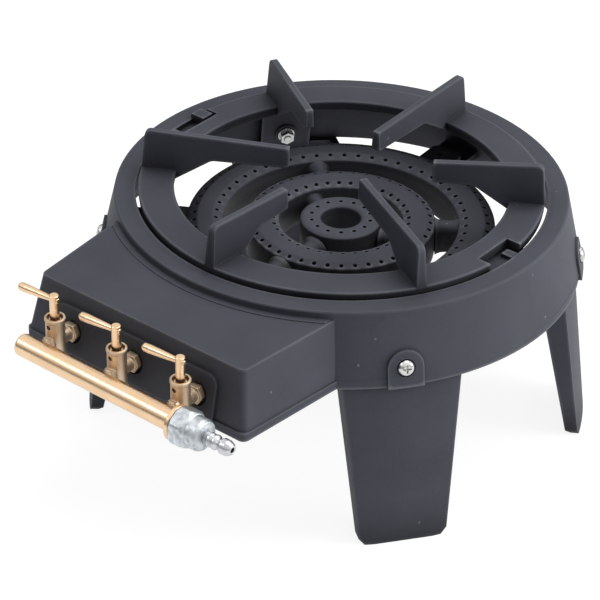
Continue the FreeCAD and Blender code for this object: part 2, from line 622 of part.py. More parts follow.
def box_corners(inset, flare, root):
    """Corners of the box in plan: an inset from its outside, a flare, and its root plane."""
    slope = "(box_root_half - box_front_half) / (box_reach - box_root)"
    front = "(box_front_half - %s + %s)" % (inset, flare)
    back = "(box_root_half - %s + %s + (box_root - (%s)) * %s)" % (inset, flare, root, slope)
    reach = "-(box_reach - %s + %s)" % (inset, flare)
    return [(front, reach), (back, "-(%s)" % root), ("-" + back, "-(%s)" % root), ("-" + front, reach)]


def rounded_front(body):
    """Round the upright edges that a body has at the box front."""
    doc.recompute()
    last = body.Tip
    names = []
    for number, edge in enumerate(last.Shape.Edges, start=1):
        ends = [vertex.Point for vertex in edge.Vertexes]
        upright = abs(ends[0].z - ends[-1].z) > 1
        if upright and max(end.y for end in ends) < -(size("box_root") + 1):
            names.append("Edge%d" % number)
    feature = body.newObject("PartDesign::Fillet", body.Name + "_rounded")
    feature.Base = (last, names)
    bind(feature, {"Radius": "box_round"})
    body.Tip = feature
    return body


def box_shell():
    height = "(%s - %s)" % (BOX_TOP, BASE_Z)
    sides = padded("box_sides", "XY_Plane", box_corners("0", "box_flare", "box_root"), height, BASE_Z,
                   "-atan(box_flare / %s)" % height)
    lip = padded("box_lip", "XY_Plane", box_corners("0", "box_flare", "box_root"),
                 "lip_height", BASE_Z)
    return [rounded_front(sides), rounded_front(lip)], height


def box_hollow(height):
    """The hollow of the box, which runs through the drum's wall and is open below."""
    extra = "box_flare * wall / %s" % height
    root = "box_root - 3 * wall"
    return lofted("box_hollow", box_corners("wall", "box_flare", root),
                  box_corners("wall", extra, root), BASE_Z, BOX_TOP + " - wall")


def cock_pad():
    """The raised pad with round top corners that the three cocks are seated on."""
    top = "(rim_height - cock_pad_top)"
    front = "-(box_reach + box_flare + cock_pad_proud + 1)"
    depth = (front, "-(box_reach - wall / 2)")
    low = block("pad_low", ("-cock_pad_half", "cock_pad_half"), depth,
                (BASE_Z + " + lip_height / 2", top + " - cock_pad_round"))
    high = block("pad_high", ("-(cock_pad_half - cock_pad_round)", "cock_pad_half - cock_pad_round"),
                 depth, (BASE_Z + " + lip_height / 2", top))
    rounds = [cylinder("pad_round", "cock_pad_round", "box_flare + cock_pad_proud + 1 + wall / 2",
                       "%d * (cock_pad_half - cock_pad_round)" % side, front,
                       top + " - cock_pad_round", TO_BACK) for side in (-1, 1)]
    skin = lofted("pad_skin", box_corners("-cock_pad_proud", "box_flare", "box_root"),
                  box_corners("-cock_pad_proud", "0", "box_root"), BASE_Z, BOX_TOP)
    return common("cock_pad", [fuse("pad_face", [low, high] + rounds), skin])


def cock_seats():
    """Round flat seats cut into the pad, square to the gas line."""
    return [cylinder("cock_seat", "cock_seat_radius", "box_flare + 10", "%d * cock_pitch" % side,
                     "-cock_seat_reach", "port_height", TO_FRONT) for side in SIDES.values()]


def box_collar():
    """The low step that the casting has on the box top, all along the drum's wall."""
    disc = cylinder("collar_disc", "box_collar", "box_collar_rise + wall / 2",
                    z=BOX_TOP + " - wall / 2")
    side = "(box_root_half - 4)"
    span = block("collar_span", ("-" + side, side), ("-(box_collar + 1)", "-box_root"),
                 (BOX_TOP + " - wall", BOX_TOP + " + wall"))
    return common("box_collar_step", [disc, span])


def arch_pads():
    """Arched pads that stand a little out of the wall round the leg screws."""
    skin = revolved("arch_skin", [
        (wall_radius("0") + " + arch_proud", "rim_height"),
        (wall_radius("drum_depth") + " + arch_proud", BASE_Z),
        (wall_radius("drum_depth") + " - wall / 2", BASE_Z),
        (wall_radius("0") + " - wall / 2", "rim_height"),
    ])
    height = "(rim_height - leg_screw_drop)"
    arches = []
    for angle in leg_angles().values():
        door = block("arch_door", ("rim_inner", "lip_radius + 10"), ("-arch_half", "arch_half"),
                     (BASE_Z, height))
        top = cylinder("arch_top", "arch_half", "lip_radius + 10 - rim_inner", "rim_inner", "0",
                       height, TO_X)
        arches.append(turned(fuse("arch", [door, top]), angle))
    return common("arch_pads", [skin, fuse("arches", arches)])


def leg_angles():
    """The direction of each leg, in degrees from the X axis."""
    return {"front_right": -size("leg_front_right_angle"), "back_right": size("leg_back_right_angle"),
            "back_left": 180 - size("leg_back_left_angle"), "front_left": size("leg_front_left_angle") - 180}


def leg_screw_holes():
    """Holes and flat seats for the leg screws through the drum's wall."""
    tools = []
    for angle in leg_angles().values():
        hole = cylinder("leg_hole", "leg_screw_radius + screw_gap", "60", z="-30")
        seat = cylinder("leg_seat", "leg_screw_head + 1", "20", z=SEAT_OUT)
        tools.append(framed(fuse("leg_bore", [hole, seat]), screw_frame(angle)))
    return tools


def tab_rooms():
    """Room in the burner shelves for the legs' tabs and for the fasteners behind them."""
    rooms = []
    for angle in leg_angles().values():
        tab = block("tab_room", (inner_radius("drum_depth - tab_rise") + " - leg_wall - 2 * tab_gap", "lip_radius"),
                    ("-(tab_half + tab_gap)", "tab_half + tab_gap"), (BASE_Z, "rim_height"))
        reach = "(%s + washer_thick + leg_nut_height + 3)" % BOSS_FACE
        stack = cylinder("stack_room", "boss_radius + tab_gap", reach, z="-" + reach)
        rooms += [turned(tab, angle), framed(stack, screw_frame(angle))]
    return rooms


def inner_lugs():
    """Seats and keys for the grate, shelves for the burner, pads for the lock nuts."""
    lugs = []
    for angle in SEAT_ANGLES:
        seat = block("grate_seat", ("seat_reach", "rim_inner + 2"), ("-seat_width / 2", "seat_width / 2"),
                     (GRATE_BASE + " - seat_depth", GRATE_BASE))
        lugs.append(turned(seat, angle))
    keys = {0: ("right_key_near", "right_key_far", "rim_height - right_key_drop"),
            180: ("-left_key_far", "-left_key_near", "rim_height + left_key_rise")}
    for angle, (low, high, top) in keys.items():
        seat = block("notch_seat", ("notch_seat_reach", "rim_inner + 2"),
                     ("-notch_seat_width / 2", "notch_seat_width / 2"), (GRATE_BASE + " - seat_depth", GRATE_BASE))
        key = block("grate_key", ("key_reach", "rim_inner + 2"), (low, high), (GRATE_BASE + " - seat_depth", top))
        lugs.append(turned(fuse("key_on_seat", [seat, key]), angle))
    shelves = []
    for angle in EAR_ANGLES:
        reach = wall_radius("ear_drop + ear_thick") + " - wall / 2"
        shelf = block("burner_shelf", ("shelf_reach", reach), ("-shelf_width / 2", "shelf_width / 2"),
                      (SHELF_TOP + " - shelf_depth", SHELF_TOP))
        hole = cylinder("shelf_hole", "ear_screw_radius + screw_gap", "shelf_depth + 10",
                        "ear_screw_reach", "0", SHELF_TOP + " - shelf_depth - 5")
        shelves.append(turned(cut("burner_shelf_drilled", shelf, [hole]), angle))
    lugs.append(cut("burner_shelves", fuse("burner_shelf_set", shelves), tab_rooms()))
    return lugs


def drum_casting():
    box_parts, height = box_shell()
    outside = fuse("casting_outside", [drum_shell(), cock_pad(), box_collar(), arch_pads()] + box_parts)
    opened = cut("casting_opened", outside, [drum_hollow(), box_hollow(height)])
    nut_pads = [cylinder("nut_pad", "nut_pad_radius", "cock_seat_reach - nut_pad_reach - 3",
                         "%d * cock_pitch" % side, "-(cock_seat_reach - 3)", "port_height", TO_BACK)
                for side in SIDES.values()]
    whole = fuse("casting_whole", [opened] + inner_lugs() + nut_pads)
    cock_holes = [cylinder("cock_hole", "neck_radius + screw_gap", "40", "%d * cock_pitch" % side,
                           "-(cock_seat_reach + 10)", "port_height", TO_BACK)
                  for side in SIDES.values()]
    tools = leg_screw_holes() + cock_holes + cock_seats()
    node(cut("casting", whole, tools), "drum_casting", y=DRUM_Y)


# ---------------------------------------------------------------- legs and their fasteners
def leg_sides(name, inset, toe):
    """The leg's outline seen square on: narrower at the foot, with cut corners."""
    top = "(leg_top_half - %s)" % inset
    foot = "(leg_foot_half - %s)" % inset
    toe_half = "(%s + (%s - %s) * %s / %s)" % (foot, top, foot, toe, BASE_Z)
    return padded(name, "YZ_Plane", [
        ("-" + top, LEG_TOP),
        (top, LEG_TOP),
        (toe_half, toe),
        ("(%s - %s * 0.8)" % (foot, toe), "0"),
        ("-(%s - %s * 0.8)" % (foot, toe), "0"),
        ("-" + toe_half, toe),
    ], "leg_foot_radius")


def leg_cone(name, inset):
    """Everything inside the leg's curved outside, less an inset."""
    return revolved(name, [
        ("0", "0"),
        ("leg_foot_radius - %s" % inset, "0"),
        ("leg_top_radius - %s" % inset, LEG_TOP),
        ("0", LEG_TOP),
    ])


def leg(label, angle):
    slab = padded("leg_slab", "XZ_Plane", [
        ("leg_foot_radius - leg_foot_depth", "foot_back_cut"),
        ("leg_foot_radius - leg_foot_depth + foot_back_cut", "0"),
        ("leg_foot_radius - foot_face_cut", "0"),
        ("leg_foot_radius + leg_wall", "leg_wall + foot_face_cut"),
        ("leg_foot_radius + leg_wall", LEG_TOP),
        ("leg_top_radius - leg_top_depth", LEG_TOP),
    ], "4 * leg_top_half", "-2 * leg_top_half")
    outside = common("leg_outside", [leg_cone("leg_skin", "0"), leg_sides("leg_sides", "0", "leg_toe"),
                                     slab])
    inside = common("leg_inside", [leg_cone("leg_core", "leg_wall"),
                                   padded("leg_gap", "YZ_Plane", [
                                       ("-(leg_top_half - leg_wall)", LEG_TOP + " + 1"),
                                       ("leg_top_half - leg_wall", LEG_TOP + " + 1"),
                                       ("leg_foot_half - leg_wall", "-1"),
                                       ("-(leg_foot_half - leg_wall)", "-1"),
                                   ], "leg_foot_radius")])
    channel = cut("leg_channel", outside, [inside])
    tab_top = "(%s + tab_rise)" % BASE_Z
    outer = "(%s - tab_gap)"
    tab_skin = revolved("tab_skin", [
        (outer % inner_radius("drum_depth - tab_rise"), tab_top),
        (outer % inner_radius("drum_depth - tab_rise") + " - leg_wall", tab_top),
        (outer % inner_radius("drum_depth") + " - leg_wall", BASE_Z),
        ("leg_top_radius - leg_wall - leg_wall / 2", LEG_TOP + " - tab_root"),
        ("leg_top_radius - leg_wall / 2", LEG_TOP + " - tab_root"),
        ("leg_top_radius - leg_wall / 2", LEG_TOP),
        (outer % inner_radius("drum_depth"), LEG_TOP),
        (outer % inner_radius("drum_depth"), BASE_Z),
    ])
    tab_sides = block("tab_sides", ("rim_inner - 30", "lip_radius"), ("-tab_half", "tab_half"),
                      (LEG_TOP + " - tab_root", tab_top))
    tab = common("tab", [tab_skin, tab_sides])
    boss = framed(cylinder("leg_boss", "boss_radius", "boss_proud + leg_wall / 2",
                           z="-" + BOSS_FACE), screw_frame(0))
    hole = framed(cylinder("tab_hole", "leg_screw_radius + screw_gap", "60", z="-40"), screw_frame(0))
    piece = cut("leg_piece", fuse("leg_whole", [channel, tab, boss]), [hole])
    node(piece, label, y=DRUM_Y, turn=Rotation(Vector(0, 0, 1), angle))


def leg_screw(angle):
    """Pan-head screw with a cross recess, its head outside the drum."""
    reach = "(%s + washer_thick + leg_nut_height + 2)" % BOSS_FACE
    shank = cylinder("screw_shank", "leg_screw_radius", reach + " + " + SEAT_OUT, z="-" + reach)
    head = cylinder("screw_head", "leg_screw_head", "leg_head_height * 0.55", z=SEAT_OUT)
    crown = cone("screw_crown", "leg_screw_head", "leg_screw_head * 0.62", "leg_head_height * 0.45",
                 z=SEAT_OUT + " + leg_head_height * 0.55")
    blades = []
    for quarter in (0, 90):
        blade = block("cross_blade", ("-leg_screw_head * 0.52", "leg_screw_head * 0.52"), ("-0.5", "0.5"),
                      (SEAT_OUT + " + leg_head_height * 0.45", SEAT_OUT + " + leg_head_height + 1"))
        blades.append(turned(blade, quarter))
    return framed(cut("leg_screw", fuse("screw_body", [shank, head, crown]), blades), screw_frame(angle))


def leg_washer(angle):
    disc = cylinder("washer_disc", "washer_radius", "washer_thick", z="-%s - washer_thick" % BOSS_FACE)
    hole = cylinder("washer_hole", "leg_screw_radius + screw_gap / 2", "washer_thick + 2",
                    z="-%s - washer_thick - 1" % BOSS_FACE)
    return framed(cut("leg_washer", disc, [hole]), screw_frame(angle))


def leg_nut(angle):
    start = "-%s - washer_thick - leg_nut_height" % BOSS_FACE
    body = hexagon("nut_body", "leg_nut_half", "leg_nut_height", z=start)
    hole = cylinder("nut_hole", "leg_screw_radius + seating_gap", "leg_nut_height + 2", z=start + " - 1")
    return framed(cut("leg_nut", body, [hole]), screw_frame(angle))


def legs():
    angles = leg_angles()
    for side, angle in angles.items():
        leg("leg_" + side, angle)
    for label, make in (("leg_screws", leg_screw), ("leg_washers", leg_washer), ("leg_nuts", leg_nut)):
        node(group(label + "_set", [make(angle) for angle in angles.values()]), label, y=DRUM_Y)


# ---------------------------------------------------------------- burner
def burner_ring(name, inner, outer, bevel, drop, rows):
    """One ring of the burner: a channel open below, with bevelled edges and rows of ports."""
    skin = "%s - ring_skin" % BURNER_TOP
    body = revolved(name, [
        (inner, RING_BASE),
        (inner, "%s - %s" % (BURNER_TOP, drop)),
        ("%s + %s" % (inner, bevel), BURNER_TOP),
        ("%s - %s" % (outer, bevel), BURNER_TOP),
        (outer, "%s - %s" % (BURNER_TOP, drop)),
        (outer, RING_BASE),
        (outer + " - ring_wall", RING_BASE),
        (outer + " - ring_wall", skin),
        (inner + " + ring_wall", skin),
        (inner + " + ring_wall", RING_BASE),
    ])
    for row in rows:
        drill_row(body, name + "_" + row, row, PORT_COUNTS[row], BURNER_TOP, "ring_skin + 1")
    return body


def spokes(name, angles, start, end, half, drop):
    """Upright webs with round backs that join two rings, cut clear of the inner one."""
    crest = "%s - %s - %s" % (BURNER_TOP, drop, half)
    bars = []
    for angle in angles:
        back = cylinder(name + "_back", half, "(%s) - (%s)" % (end, start), start, "0", crest, TO_X)
        web = block(name + "_web", (start, end), ("-" + half, half), (RING_BASE, crest))
        bars.append(turned(fuse(name, [back, web]), angle))
    space = cylinder(name + "_space", start + " + ring_wall / 2", "ring_height + 2", z=RING_BASE + " - 1")
    return cut(name + "_set", fuse(name + "_bars", bars), [space])


def burner_ears():
    """Flat ears under the outer ring that lie on the drum's shelves."""
    ears = []
    for angle in EAR_ANGLES:
        ear = block("ear", ("outer_ring_out - ring_wall / 3", "ear_reach"), ("-ear_width / 2", "ear_width / 2"),
                    (SHELF_TOP, EAR_TOP))
        hole = cylinder("ear_hole", "ear_screw_radius + screw_gap", "ear_thick + 2",
                        "ear_screw_reach", "0", SHELF_TOP + " - 1")
        ears.append(turned(cut("ear_drilled", ear, [hole]), angle))
    return ears


def burner():
    """Three rings. The outer two reach inwards with spokes that end on the next ring."""
    outer = burner_ring("outer_ring", "outer_ring_in", "outer_ring_out", "bevel_wide", "bevel_drop",
                        ("outer_row_out", "outer_row_in"))
    outer_bars = spokes("outer_spoke", OUTER_SPOKES, "middle_ring_out - ring_wall / 2",
                        "outer_ring_in + ring_wall / 2", "spoke_half", "spoke_drop")
    node(fuse("outer_whole", [outer, outer_bars] + burner_ears()), "outer_burner_ring", y=DRUM_Y)
    middle = burner_ring("middle_ring", "middle_ring_in", "middle_ring_out", "bevel_narrow",
                         "bevel_drop * 0.8", ("middle_row_out", "middle_row_in"))
    inner_bars = spokes("inner_spoke", INNER_SPOKES, "core_ring_out - ring_wall / 2",
                        "middle_ring_in + ring_wall / 2", "inner_spoke_half", "inner_spoke_drop")
    node(fuse("middle_whole", [middle, inner_bars]), "middle_burner_ring", y=DRUM_Y)
    core = burner_ring("core_ring", "core_ring_in", "core_ring_out", "bevel_core", "bevel_drop * 0.4",
                       ("core_row",))
    node(group("core_whole", [core]), "core_burner_ring", y=DRUM_Y)


def tube_entries():
    """Where each mixing tube comes up into its ring, from the drum axis: x and the distance forward."""
    outer_mid = "((outer_ring_in + outer_ring_out) / 2)"
    middle_mid = "((middle_ring_in + middle_ring_out) / 2)"
    return {
        "left": ("-cock_pitch", "sqrt(%s^2 - cock_pitch^2)" % outer_mid),
        "center": ("0", "core_row"),
        "right": ("cock_pitch", "sqrt(max(%s^2 - cock_pitch^2; 0))" % middle_mid),
    }


def ring_covers():
    """Plates that close the rings below, each with the socket of its mixing tube."""
    rings = {"left": ("outer", "outer_ring_in", "outer_ring_out"),
             "center": ("core", "core_ring_in", "core_ring_out"),
             "right": ("middle", "middle_ring_in", "middle_ring_out")}
    for side, (x, forward) in tube_entries().items():
        name, inner, outer = rings[side]
        low = "(%s - cover_thick)" % RING_BASE
        plate = cylinder(name + "_plate", outer + " - cover_inset", "cover_thick", z=low)
        socket = cylinder(name + "_socket", "socket_radius", "socket_depth + cover_thick", x, "-" + forward,
                          low + " - socket_depth")
        eye = cylinder(name + "_eye", inner + " + cover_inset", "40", z=low + " - 20")
        way = cylinder(name + "_way", "tube_radius + seating_gap", "40", x, "-" + forward, low + " - 20")
        whole = fuse(name + "_cover_whole", [cut(name + "_plate_open", plate, [eye]), socket])
        node(cut(name + "_cover_cut", whole, [way]), name + "_ring_cover", y=DRUM_Y)


def burner_fasteners():
    """Hexagon-head screws through the ears and shelves, with their nuts below."""
    screws = []
    nuts = []
    for angle in SCREWED_EARS:
        grip = "(ear_thick + shelf_depth + ear_head_height + 2)"
        shank = cylinder("ear_shank", "ear_screw_radius", grip, "ear_screw_reach", "0",
                         "%s - %s" % (EAR_TOP, grip))
        head = hexagon("ear_head", "ear_head_half", "ear_head_height", "ear_screw_reach", "0", EAR_TOP)
        screws.append(turned(fuse("ear_screw", [shank, head]), angle))
        low = "(%s - shelf_depth - ear_head_height)" % SHELF_TOP
        body = hexagon("ear_nut_body", "ear_head_half", "ear_head_height", "ear_screw_reach", "0", low)
        hole = cylinder("ear_nut_hole", "ear_screw_radius + seating_gap", "ear_head_height + 2",
                        "ear_screw_reach", "0", low + " - 1")
        nuts.append(turned(cut("ear_nut", body, [hole]), angle))
    node(group("burner_screw_set", screws), "burner_screws", y=DRUM_Y)
    node(group("burner_nut_set", nuts), "burner_nuts", y=DRUM_Y)


# ---------------------------------------------------------------- mixing tubes and air shutters
def windows(name, start, length):
    """Three air windows round the tube's axis, which runs along Y."""
    cutters = []
    for third in (0, 120, 240):
        sector = cylinder(name + "_sector", "window_out", length)
        bind(sector, {"Angle": "window_angle"})
        core = cylinder(name + "_core", "window_in", length + " + 2", z="-1")
        window = cut(name, sector, [core])
        turn = TO_BACK.multiply(Rotation(Vector(0, 0, 1), third + 90 - size("window_angle") / 2))
        cutters.append(move(window, y=start, turn=turn))
    return cutters


def tube_route(side):
    """Corners of the tube's route from its bell: back, down under the rings, back, and up."""
    outer_mid = (size("outer_ring_in") + size("outer_ring_out")) / 2
    middle_mid = (size("middle_ring_in") + size("middle_ring_out")) / 2
    pitch = size("cock_pitch")
    forward = {"left": math.sqrt(outer_mid ** 2 - pitch ** 2), "center": size("core_row"),
               "right": math.sqrt(max(middle_mid ** 2 - pitch ** 2, 0))}[side]
    start = size("bell_length") + size("bell_taper") - 2
    dip = size("bell_reach") - size("tube_dip_reach")
    end = size("bell_reach") - forward
    rise = size("rim_height") - size("burner_drop") - size("ring_height") - size("port_height")
    drop = size("tube_drop")
    return [Vector(start, 0, 0), Vector(dip, 0, 0), Vector(dip + drop, -drop, 0),
            Vector(end, -drop, 0), Vector(end, rise, 0)]


def rounded_route(corners, radius):
    """Straight runs joined by tangent arcs of one radius."""
    edges = []
    begin = corners[0]
    for before, corner, after in zip(corners, corners[1:], corners[2:]):
        into = (before - corner).normalize()
        out = (after - corner).normalize()
        half = into.getAngle(out) / 2
        reach = radius / math.tan(half)
        first = corner + into * reach
        last = corner + out * reach
        middle = corner + (into + out).normalize() * (radius / math.sin(half) - radius)
        edges.append(Part.LineSegment(begin, first))
        edges.append(Part.Arc(first, middle, last))
        begin = last
    edges.append(Part.LineSegment(begin, corners[-1]))
    return edges


def tube_pipe(side):
    """The tube's pipe, swept along its rounded route in the upright plane."""
    corners = tube_route(side)
    body = doc.addObject("PartDesign::Body", "pipe_" + side)
    spine = attached_sketch(body, "spine_" + side, "YZ_Plane")
    for edge in rounded_route(corners, size("tube_bend")):
        spine.addGeometry(edge, False)
    profile = attached_sketch(body, "section_" + side, "XZ_Plane", "-(bell_length + bell_taper - 2)")
    for text, guess in (("tube_radius", 9), ("tube_radius - tube_wall", 7)):
        index = profile.addGeometry(Part.Circle(Vector(), Vector(0, 0, 1), guess), False)
        profile.addConstraint(Sketcher.Constraint("Coincident", index, 3, -1, 1))
        number = profile.addConstraint(Sketcher.Constraint("Radius", index, guess))
        bind(profile, {"Constraints[%d]" % number: text})
    pipe = body.newObject("PartDesign::AdditivePipe", "sweep_" + side)
    pipe.Profile = profile
    pipe.Spine = (spine, ["Edge%d" % (i + 1) for i in range(2 * len(corners) - 3)])
    body.Tip = pipe
    return body


def mixing_tube(side):
    bore = "(tube_radius - tube_wall)"
    taper_end = "(bell_length + bell_taper)"
    bell = revolved("bell_" + side, [
        ("-(bell_plate + spigot_length)", "spigot_bore"),
        ("-(bell_plate + spigot_length)", "spigot_radius"),
        ("-bell_plate", "spigot_radius"),
        ("-bell_plate", "bell_radius"),
        ("bell_length", "bell_radius"),
        (taper_end, "tube_radius + 0.6"),
        (taper_end, bore),
        ("bell_length", "bell_radius - tube_wall"),
        ("0", "bell_radius - tube_wall"),
        ("0", "spigot_bore"),
    ], "YZ_Plane", "H_Axis")
    open_bell = cut("bell_open_" + side, bell, windows("bell_window_" + side, "-bell_plate - 1",
                                                       "bell_plate + 2"))
    piece = fuse("mixing_tube_" + side, [open_bell, tube_pipe(side)])
    node(piece, "mixing_tube_" + side, "%d * cock_pitch" % SIDES[side],
         "%s - bell_reach" % DRUM_Y, "port_height")


def air_shutter(side):
    front = "-(bell_plate + shutter_thick + 2 * running_gap)"
    disc = cylinder("shutter_disc", "shutter_radius", "shutter_thick", y=front, turn=TO_BACK)
    tab = block("shutter_tab_piece", ("-4", "4"), (front + " - shutter_tab", front + " + shutter_thick"),
                ("shutter_radius - shutter_thick - 0.5", "shutter_radius - 0.5"))
    eye = cylinder("shutter_eye", "spigot_radius + running_gap", "shutter_thick + 2",
                   y=front + " - 1", turn=TO_BACK)
    openings = windows("shutter_window_" + side, front + " - 1", "shutter_thick + 2")
    piece = cut("shutter_" + side, fuse("shutter_whole", [disc, tab]), [eye] + openings)
    node(piece, "air_shutter_" + side, "%d * cock_pitch" % SIDES[side],
         "%s - bell_reach" % DRUM_Y, "port_height")


def shutter_clips():
    """Thin rings pressed on the spigots in front of the shutters."""
    clips = []
    for place in SIDES.values():
        start = "-(bell_plate + shutter_thick + 4 * running_gap + clip_thick)"
        disc = cylinder("clip_disc", "clip_radius", "clip_thick", "%d * cock_pitch" % place, start, turn=TO_BACK)
        eye = cylinder("clip_eye", "spigot_radius + seating_gap", "clip_thick + 2",
                       "%d * cock_pitch" % place, start + " - 1", turn=TO_BACK)
        clips.append(cut("clip", disc, [eye]))
    node(group("clip_set", clips), "shutter_clips", y="%s - bell_reach" % DRUM_Y, z="port_height")


# ---------------------------------------------------------------- grate
def fin(tip, angle):
    """One fin: its side view, narrowed towards the top."""
    top = "(rim_height + fin_rise)"
    tip_top = "(%s - fin_fall)" % top
    side_view = padded("fin_side", "XZ_Plane", [
        (tip, tip_top),
        ("fin_shoulder - fin_corner", top),
        ("fin_shoulder - fin_corner * 0.3", top + " - fin_corner * 0.3"),
        ("fin_shoulder", top + " - fin_corner"),
        ("grate_outer", GRATE_TOP),
        ("grate_outer - grate_draft", GRATE_BASE),
        ("grate_inner + grate_draft", GRATE_BASE),
        ("fin_bend", tip_top + " - fin_depth"),
        (tip, tip_top + " - fin_depth"),
    ], "2 * fin_root", "-fin_root")
    end_view = padded("fin_end", "YZ_Plane", [
        ("-fin_root / 2", GRATE_BASE),
        ("-fin_crest / 2", top),
        ("fin_crest / 2", top),
        ("fin_root / 2", GRATE_BASE),
    ], "grate_outer")
    return turned(common("fin", [side_view, end_view]), angle)


def pot_grate():
    ring = revolved("grate_ring", [
        ("grate_inner", GRATE_TOP),
        ("grate_outer", GRATE_TOP),
        ("grate_outer - grate_draft", GRATE_BASE),
        ("grate_inner + grate_draft", GRATE_BASE),
    ])
    notches = [turned(block("grate_notch", ("notch_reach", "grate_outer + 5"), ("-notch_near", far),
                            (GRATE_BASE + " - 1", GRATE_TOP + " + 1")), angle)
               for angle, far in ((0, "notch_far"), (180, "notch_near"))]
    fins = [fin(tip, angle) for tip, angles in FIN_ANGLES.items() for angle in angles]
    node(fuse("grate", [cut("grate_notched", ring, notches)] + fins), "pot_grate", y=DRUM_Y)


# ---------------------------------------------------------------- cocks
def cock_place(side):
    return "%d * cock_pitch" % SIDES[side], COCK_Y, "port_height"


def valve_body(side):
    """The cock's barrel with its inlet neck to the front and its outlet neck to the back."""
    barrel = cylinder("barrel", "barrel_radius", "barrel_base + barrel_top", z="-barrel_base")
    rim = cylinder("barrel_rim_ring", "barrel_rim", "barrel_rim_height", z="barrel_top - barrel_rim_height")
    inlet_end = "(manifold_reach - cock_reach - manifold_radius + manifold_wall + 0.8)"
    inlet = cylinder("inlet", "neck_radius", inlet_end, turn=TO_FRONT)
    inlet_hex = hexagon("inlet_hex", "inlet_hex_half", "inlet_hex_length", y="-inlet_hex_start", turn=TO_FRONT)
    outlet = cylinder("outlet", "neck_radius", "outlet_length", turn=TO_BACK)
    outlet_hex = hexagon("outlet_hex", "cock_hex_half", "cock_hex_length",
                         y="cock_reach - cock_seat_reach - cock_hex_length", turn=TO_BACK)
    plug_bore = cylinder("plug_bore", "plug_radius + running_gap", "plug_base + barrel_top + 1", z="-plug_base - 0.5")
    recess = cylinder("recess", "recess_radius", "recess_depth + 1", z="barrel_top - recess_depth")
    gas_way = cylinder("gas_way", "gas_bore", "outlet_length + %s + 2" % inlet_end,
                       y="-%s - 1" % inlet_end, turn=TO_BACK)
    grub = cylinder("grub_hole", "grub_radius", "barrel_radius + 2", z="grub_height", turn=TO_FRONT)
    whole = fuse("valve_whole", [barrel, rim, inlet, inlet_hex, outlet, outlet_hex])
    node(cut("valve_" + side, whole, [plug_bore, recess, gas_way, grub]), "valve_body_" + side, *cock_place(side))


def lever_turn():
    """The lever points left, drooping a little."""
    return Rotation(Vector(0, 1, 0), -(90 + size("lever_droop")))


def valve_plug(side):
    """The turning plug with its stem. Its gas way lies across the line while the cock is shut."""
    plug = cylinder("plug", "plug_radius", "plug_base + plug_top", z="-plug_base")
    stem = cylinder("stem", "stem_radius", "stem_top - stem_chamfer - plug_top", z="plug_top")
    end = cone("stem_end", "stem_radius", "stem_radius - stem_chamfer", "stem_chamfer", z="stem_top - stem_chamfer")
    way = cylinder("plug_way", "gas_bore", "4 * plug_radius", "-2 * plug_radius", turn=TO_X)
    eye = cylinder("lever_eye", "lever_root + seating_gap", "8 * stem_radius", z="-4 * stem_radius")
    eye_turned = group("lever_eye_set", [eye])
    move(eye_turned, z="lever_height", turn=lever_turn())
    node(cut("plug_" + side, fuse("plug_whole", [plug, stem, end]), [way, eye_turned]),
         "valve_plug_" + side, *cock_place(side))


def lever(side):
    """A tapered round lever with a ball end, pushed through the stem."""
    root = cylinder("lever_root_rod", "lever_root", "2 * stem_radius + 1", z="-stem_radius")
    taper = cone("lever_taper", "lever_root + 0.1", "lever_tip", "lever_length - lever_tip - stem_radius - 0.6",
                 z="stem_radius + 0.6")
    ball = solid("Sphere", "lever_ball", {"Radius": "lever_tip"}, z="lever_length - lever_tip")
    piece = fuse("lever_" + side, [root, taper, ball])
    x, y, z = cock_place(side)
    node(piece, "lever_" + side, x, y, z + " + lever_height", lever_turn())


def cock_fittings():
    """Glands round the stems, lock nuts behind the front, and jets on the outlets."""
    glands = []
    nuts = []
    jets = []
    for place in SIDES.values():
        x = "%d * cock_pitch" % place
        ring = cylinder("gland_ring", "plug_radius", "gland_height", x, z="plug_top + running_gap")
        eye = cylinder("gland_eye", "stem_radius + running_gap", "gland_height + 2", x, z="plug_top - 1")
        glands.append(cut("gland", ring, [eye]))
        nut_start = "cock_reach - nut_pad_reach"
        body = hexagon("lock_nut_body", "lock_nut_half", "lock_nut_thick", x, nut_start, turn=TO_BACK)
        hole = cylinder("lock_nut_hole", "neck_radius + seating_gap", "lock_nut_thick + 2", x,
                        nut_start + " - 1", turn=TO_BACK)
        nuts.append(cut("lock_nut", body, [hole]))
        jet_start = "(outlet_length - jet_overlap)"
        hexed = hexagon("jet_hex", "jet_hex_half", "jet_hex_length", x, jet_start, turn=TO_BACK)
        tip = cylinder("jet_tip", "jet_tip_radius", "jet_tip_length + 1", x,
                       jet_start + " + jet_hex_length - 1", turn=TO_BACK)
        cup = cylinder("jet_cup", "neck_radius + seating_gap", "jet_overlap + 1", x, jet_start + " - 1", turn=TO_BACK)
        bore = cylinder("jet_bore", "jet_hole", "40", x, jet_start + " - 5", turn=TO_BACK)
        jets.append(cut("jet", fuse("jet_whole", [hexed, tip]), [cup, bore]))
    node(group("gland_set", glands), "gland_rings", y=COCK_Y, z="port_height")
    node(group("lock_nut_set", nuts), "lock_nuts", y=COCK_Y, z="port_height")
    node(group("jet_set", jets), "gas_jets", y=COCK_Y, z="port_height")


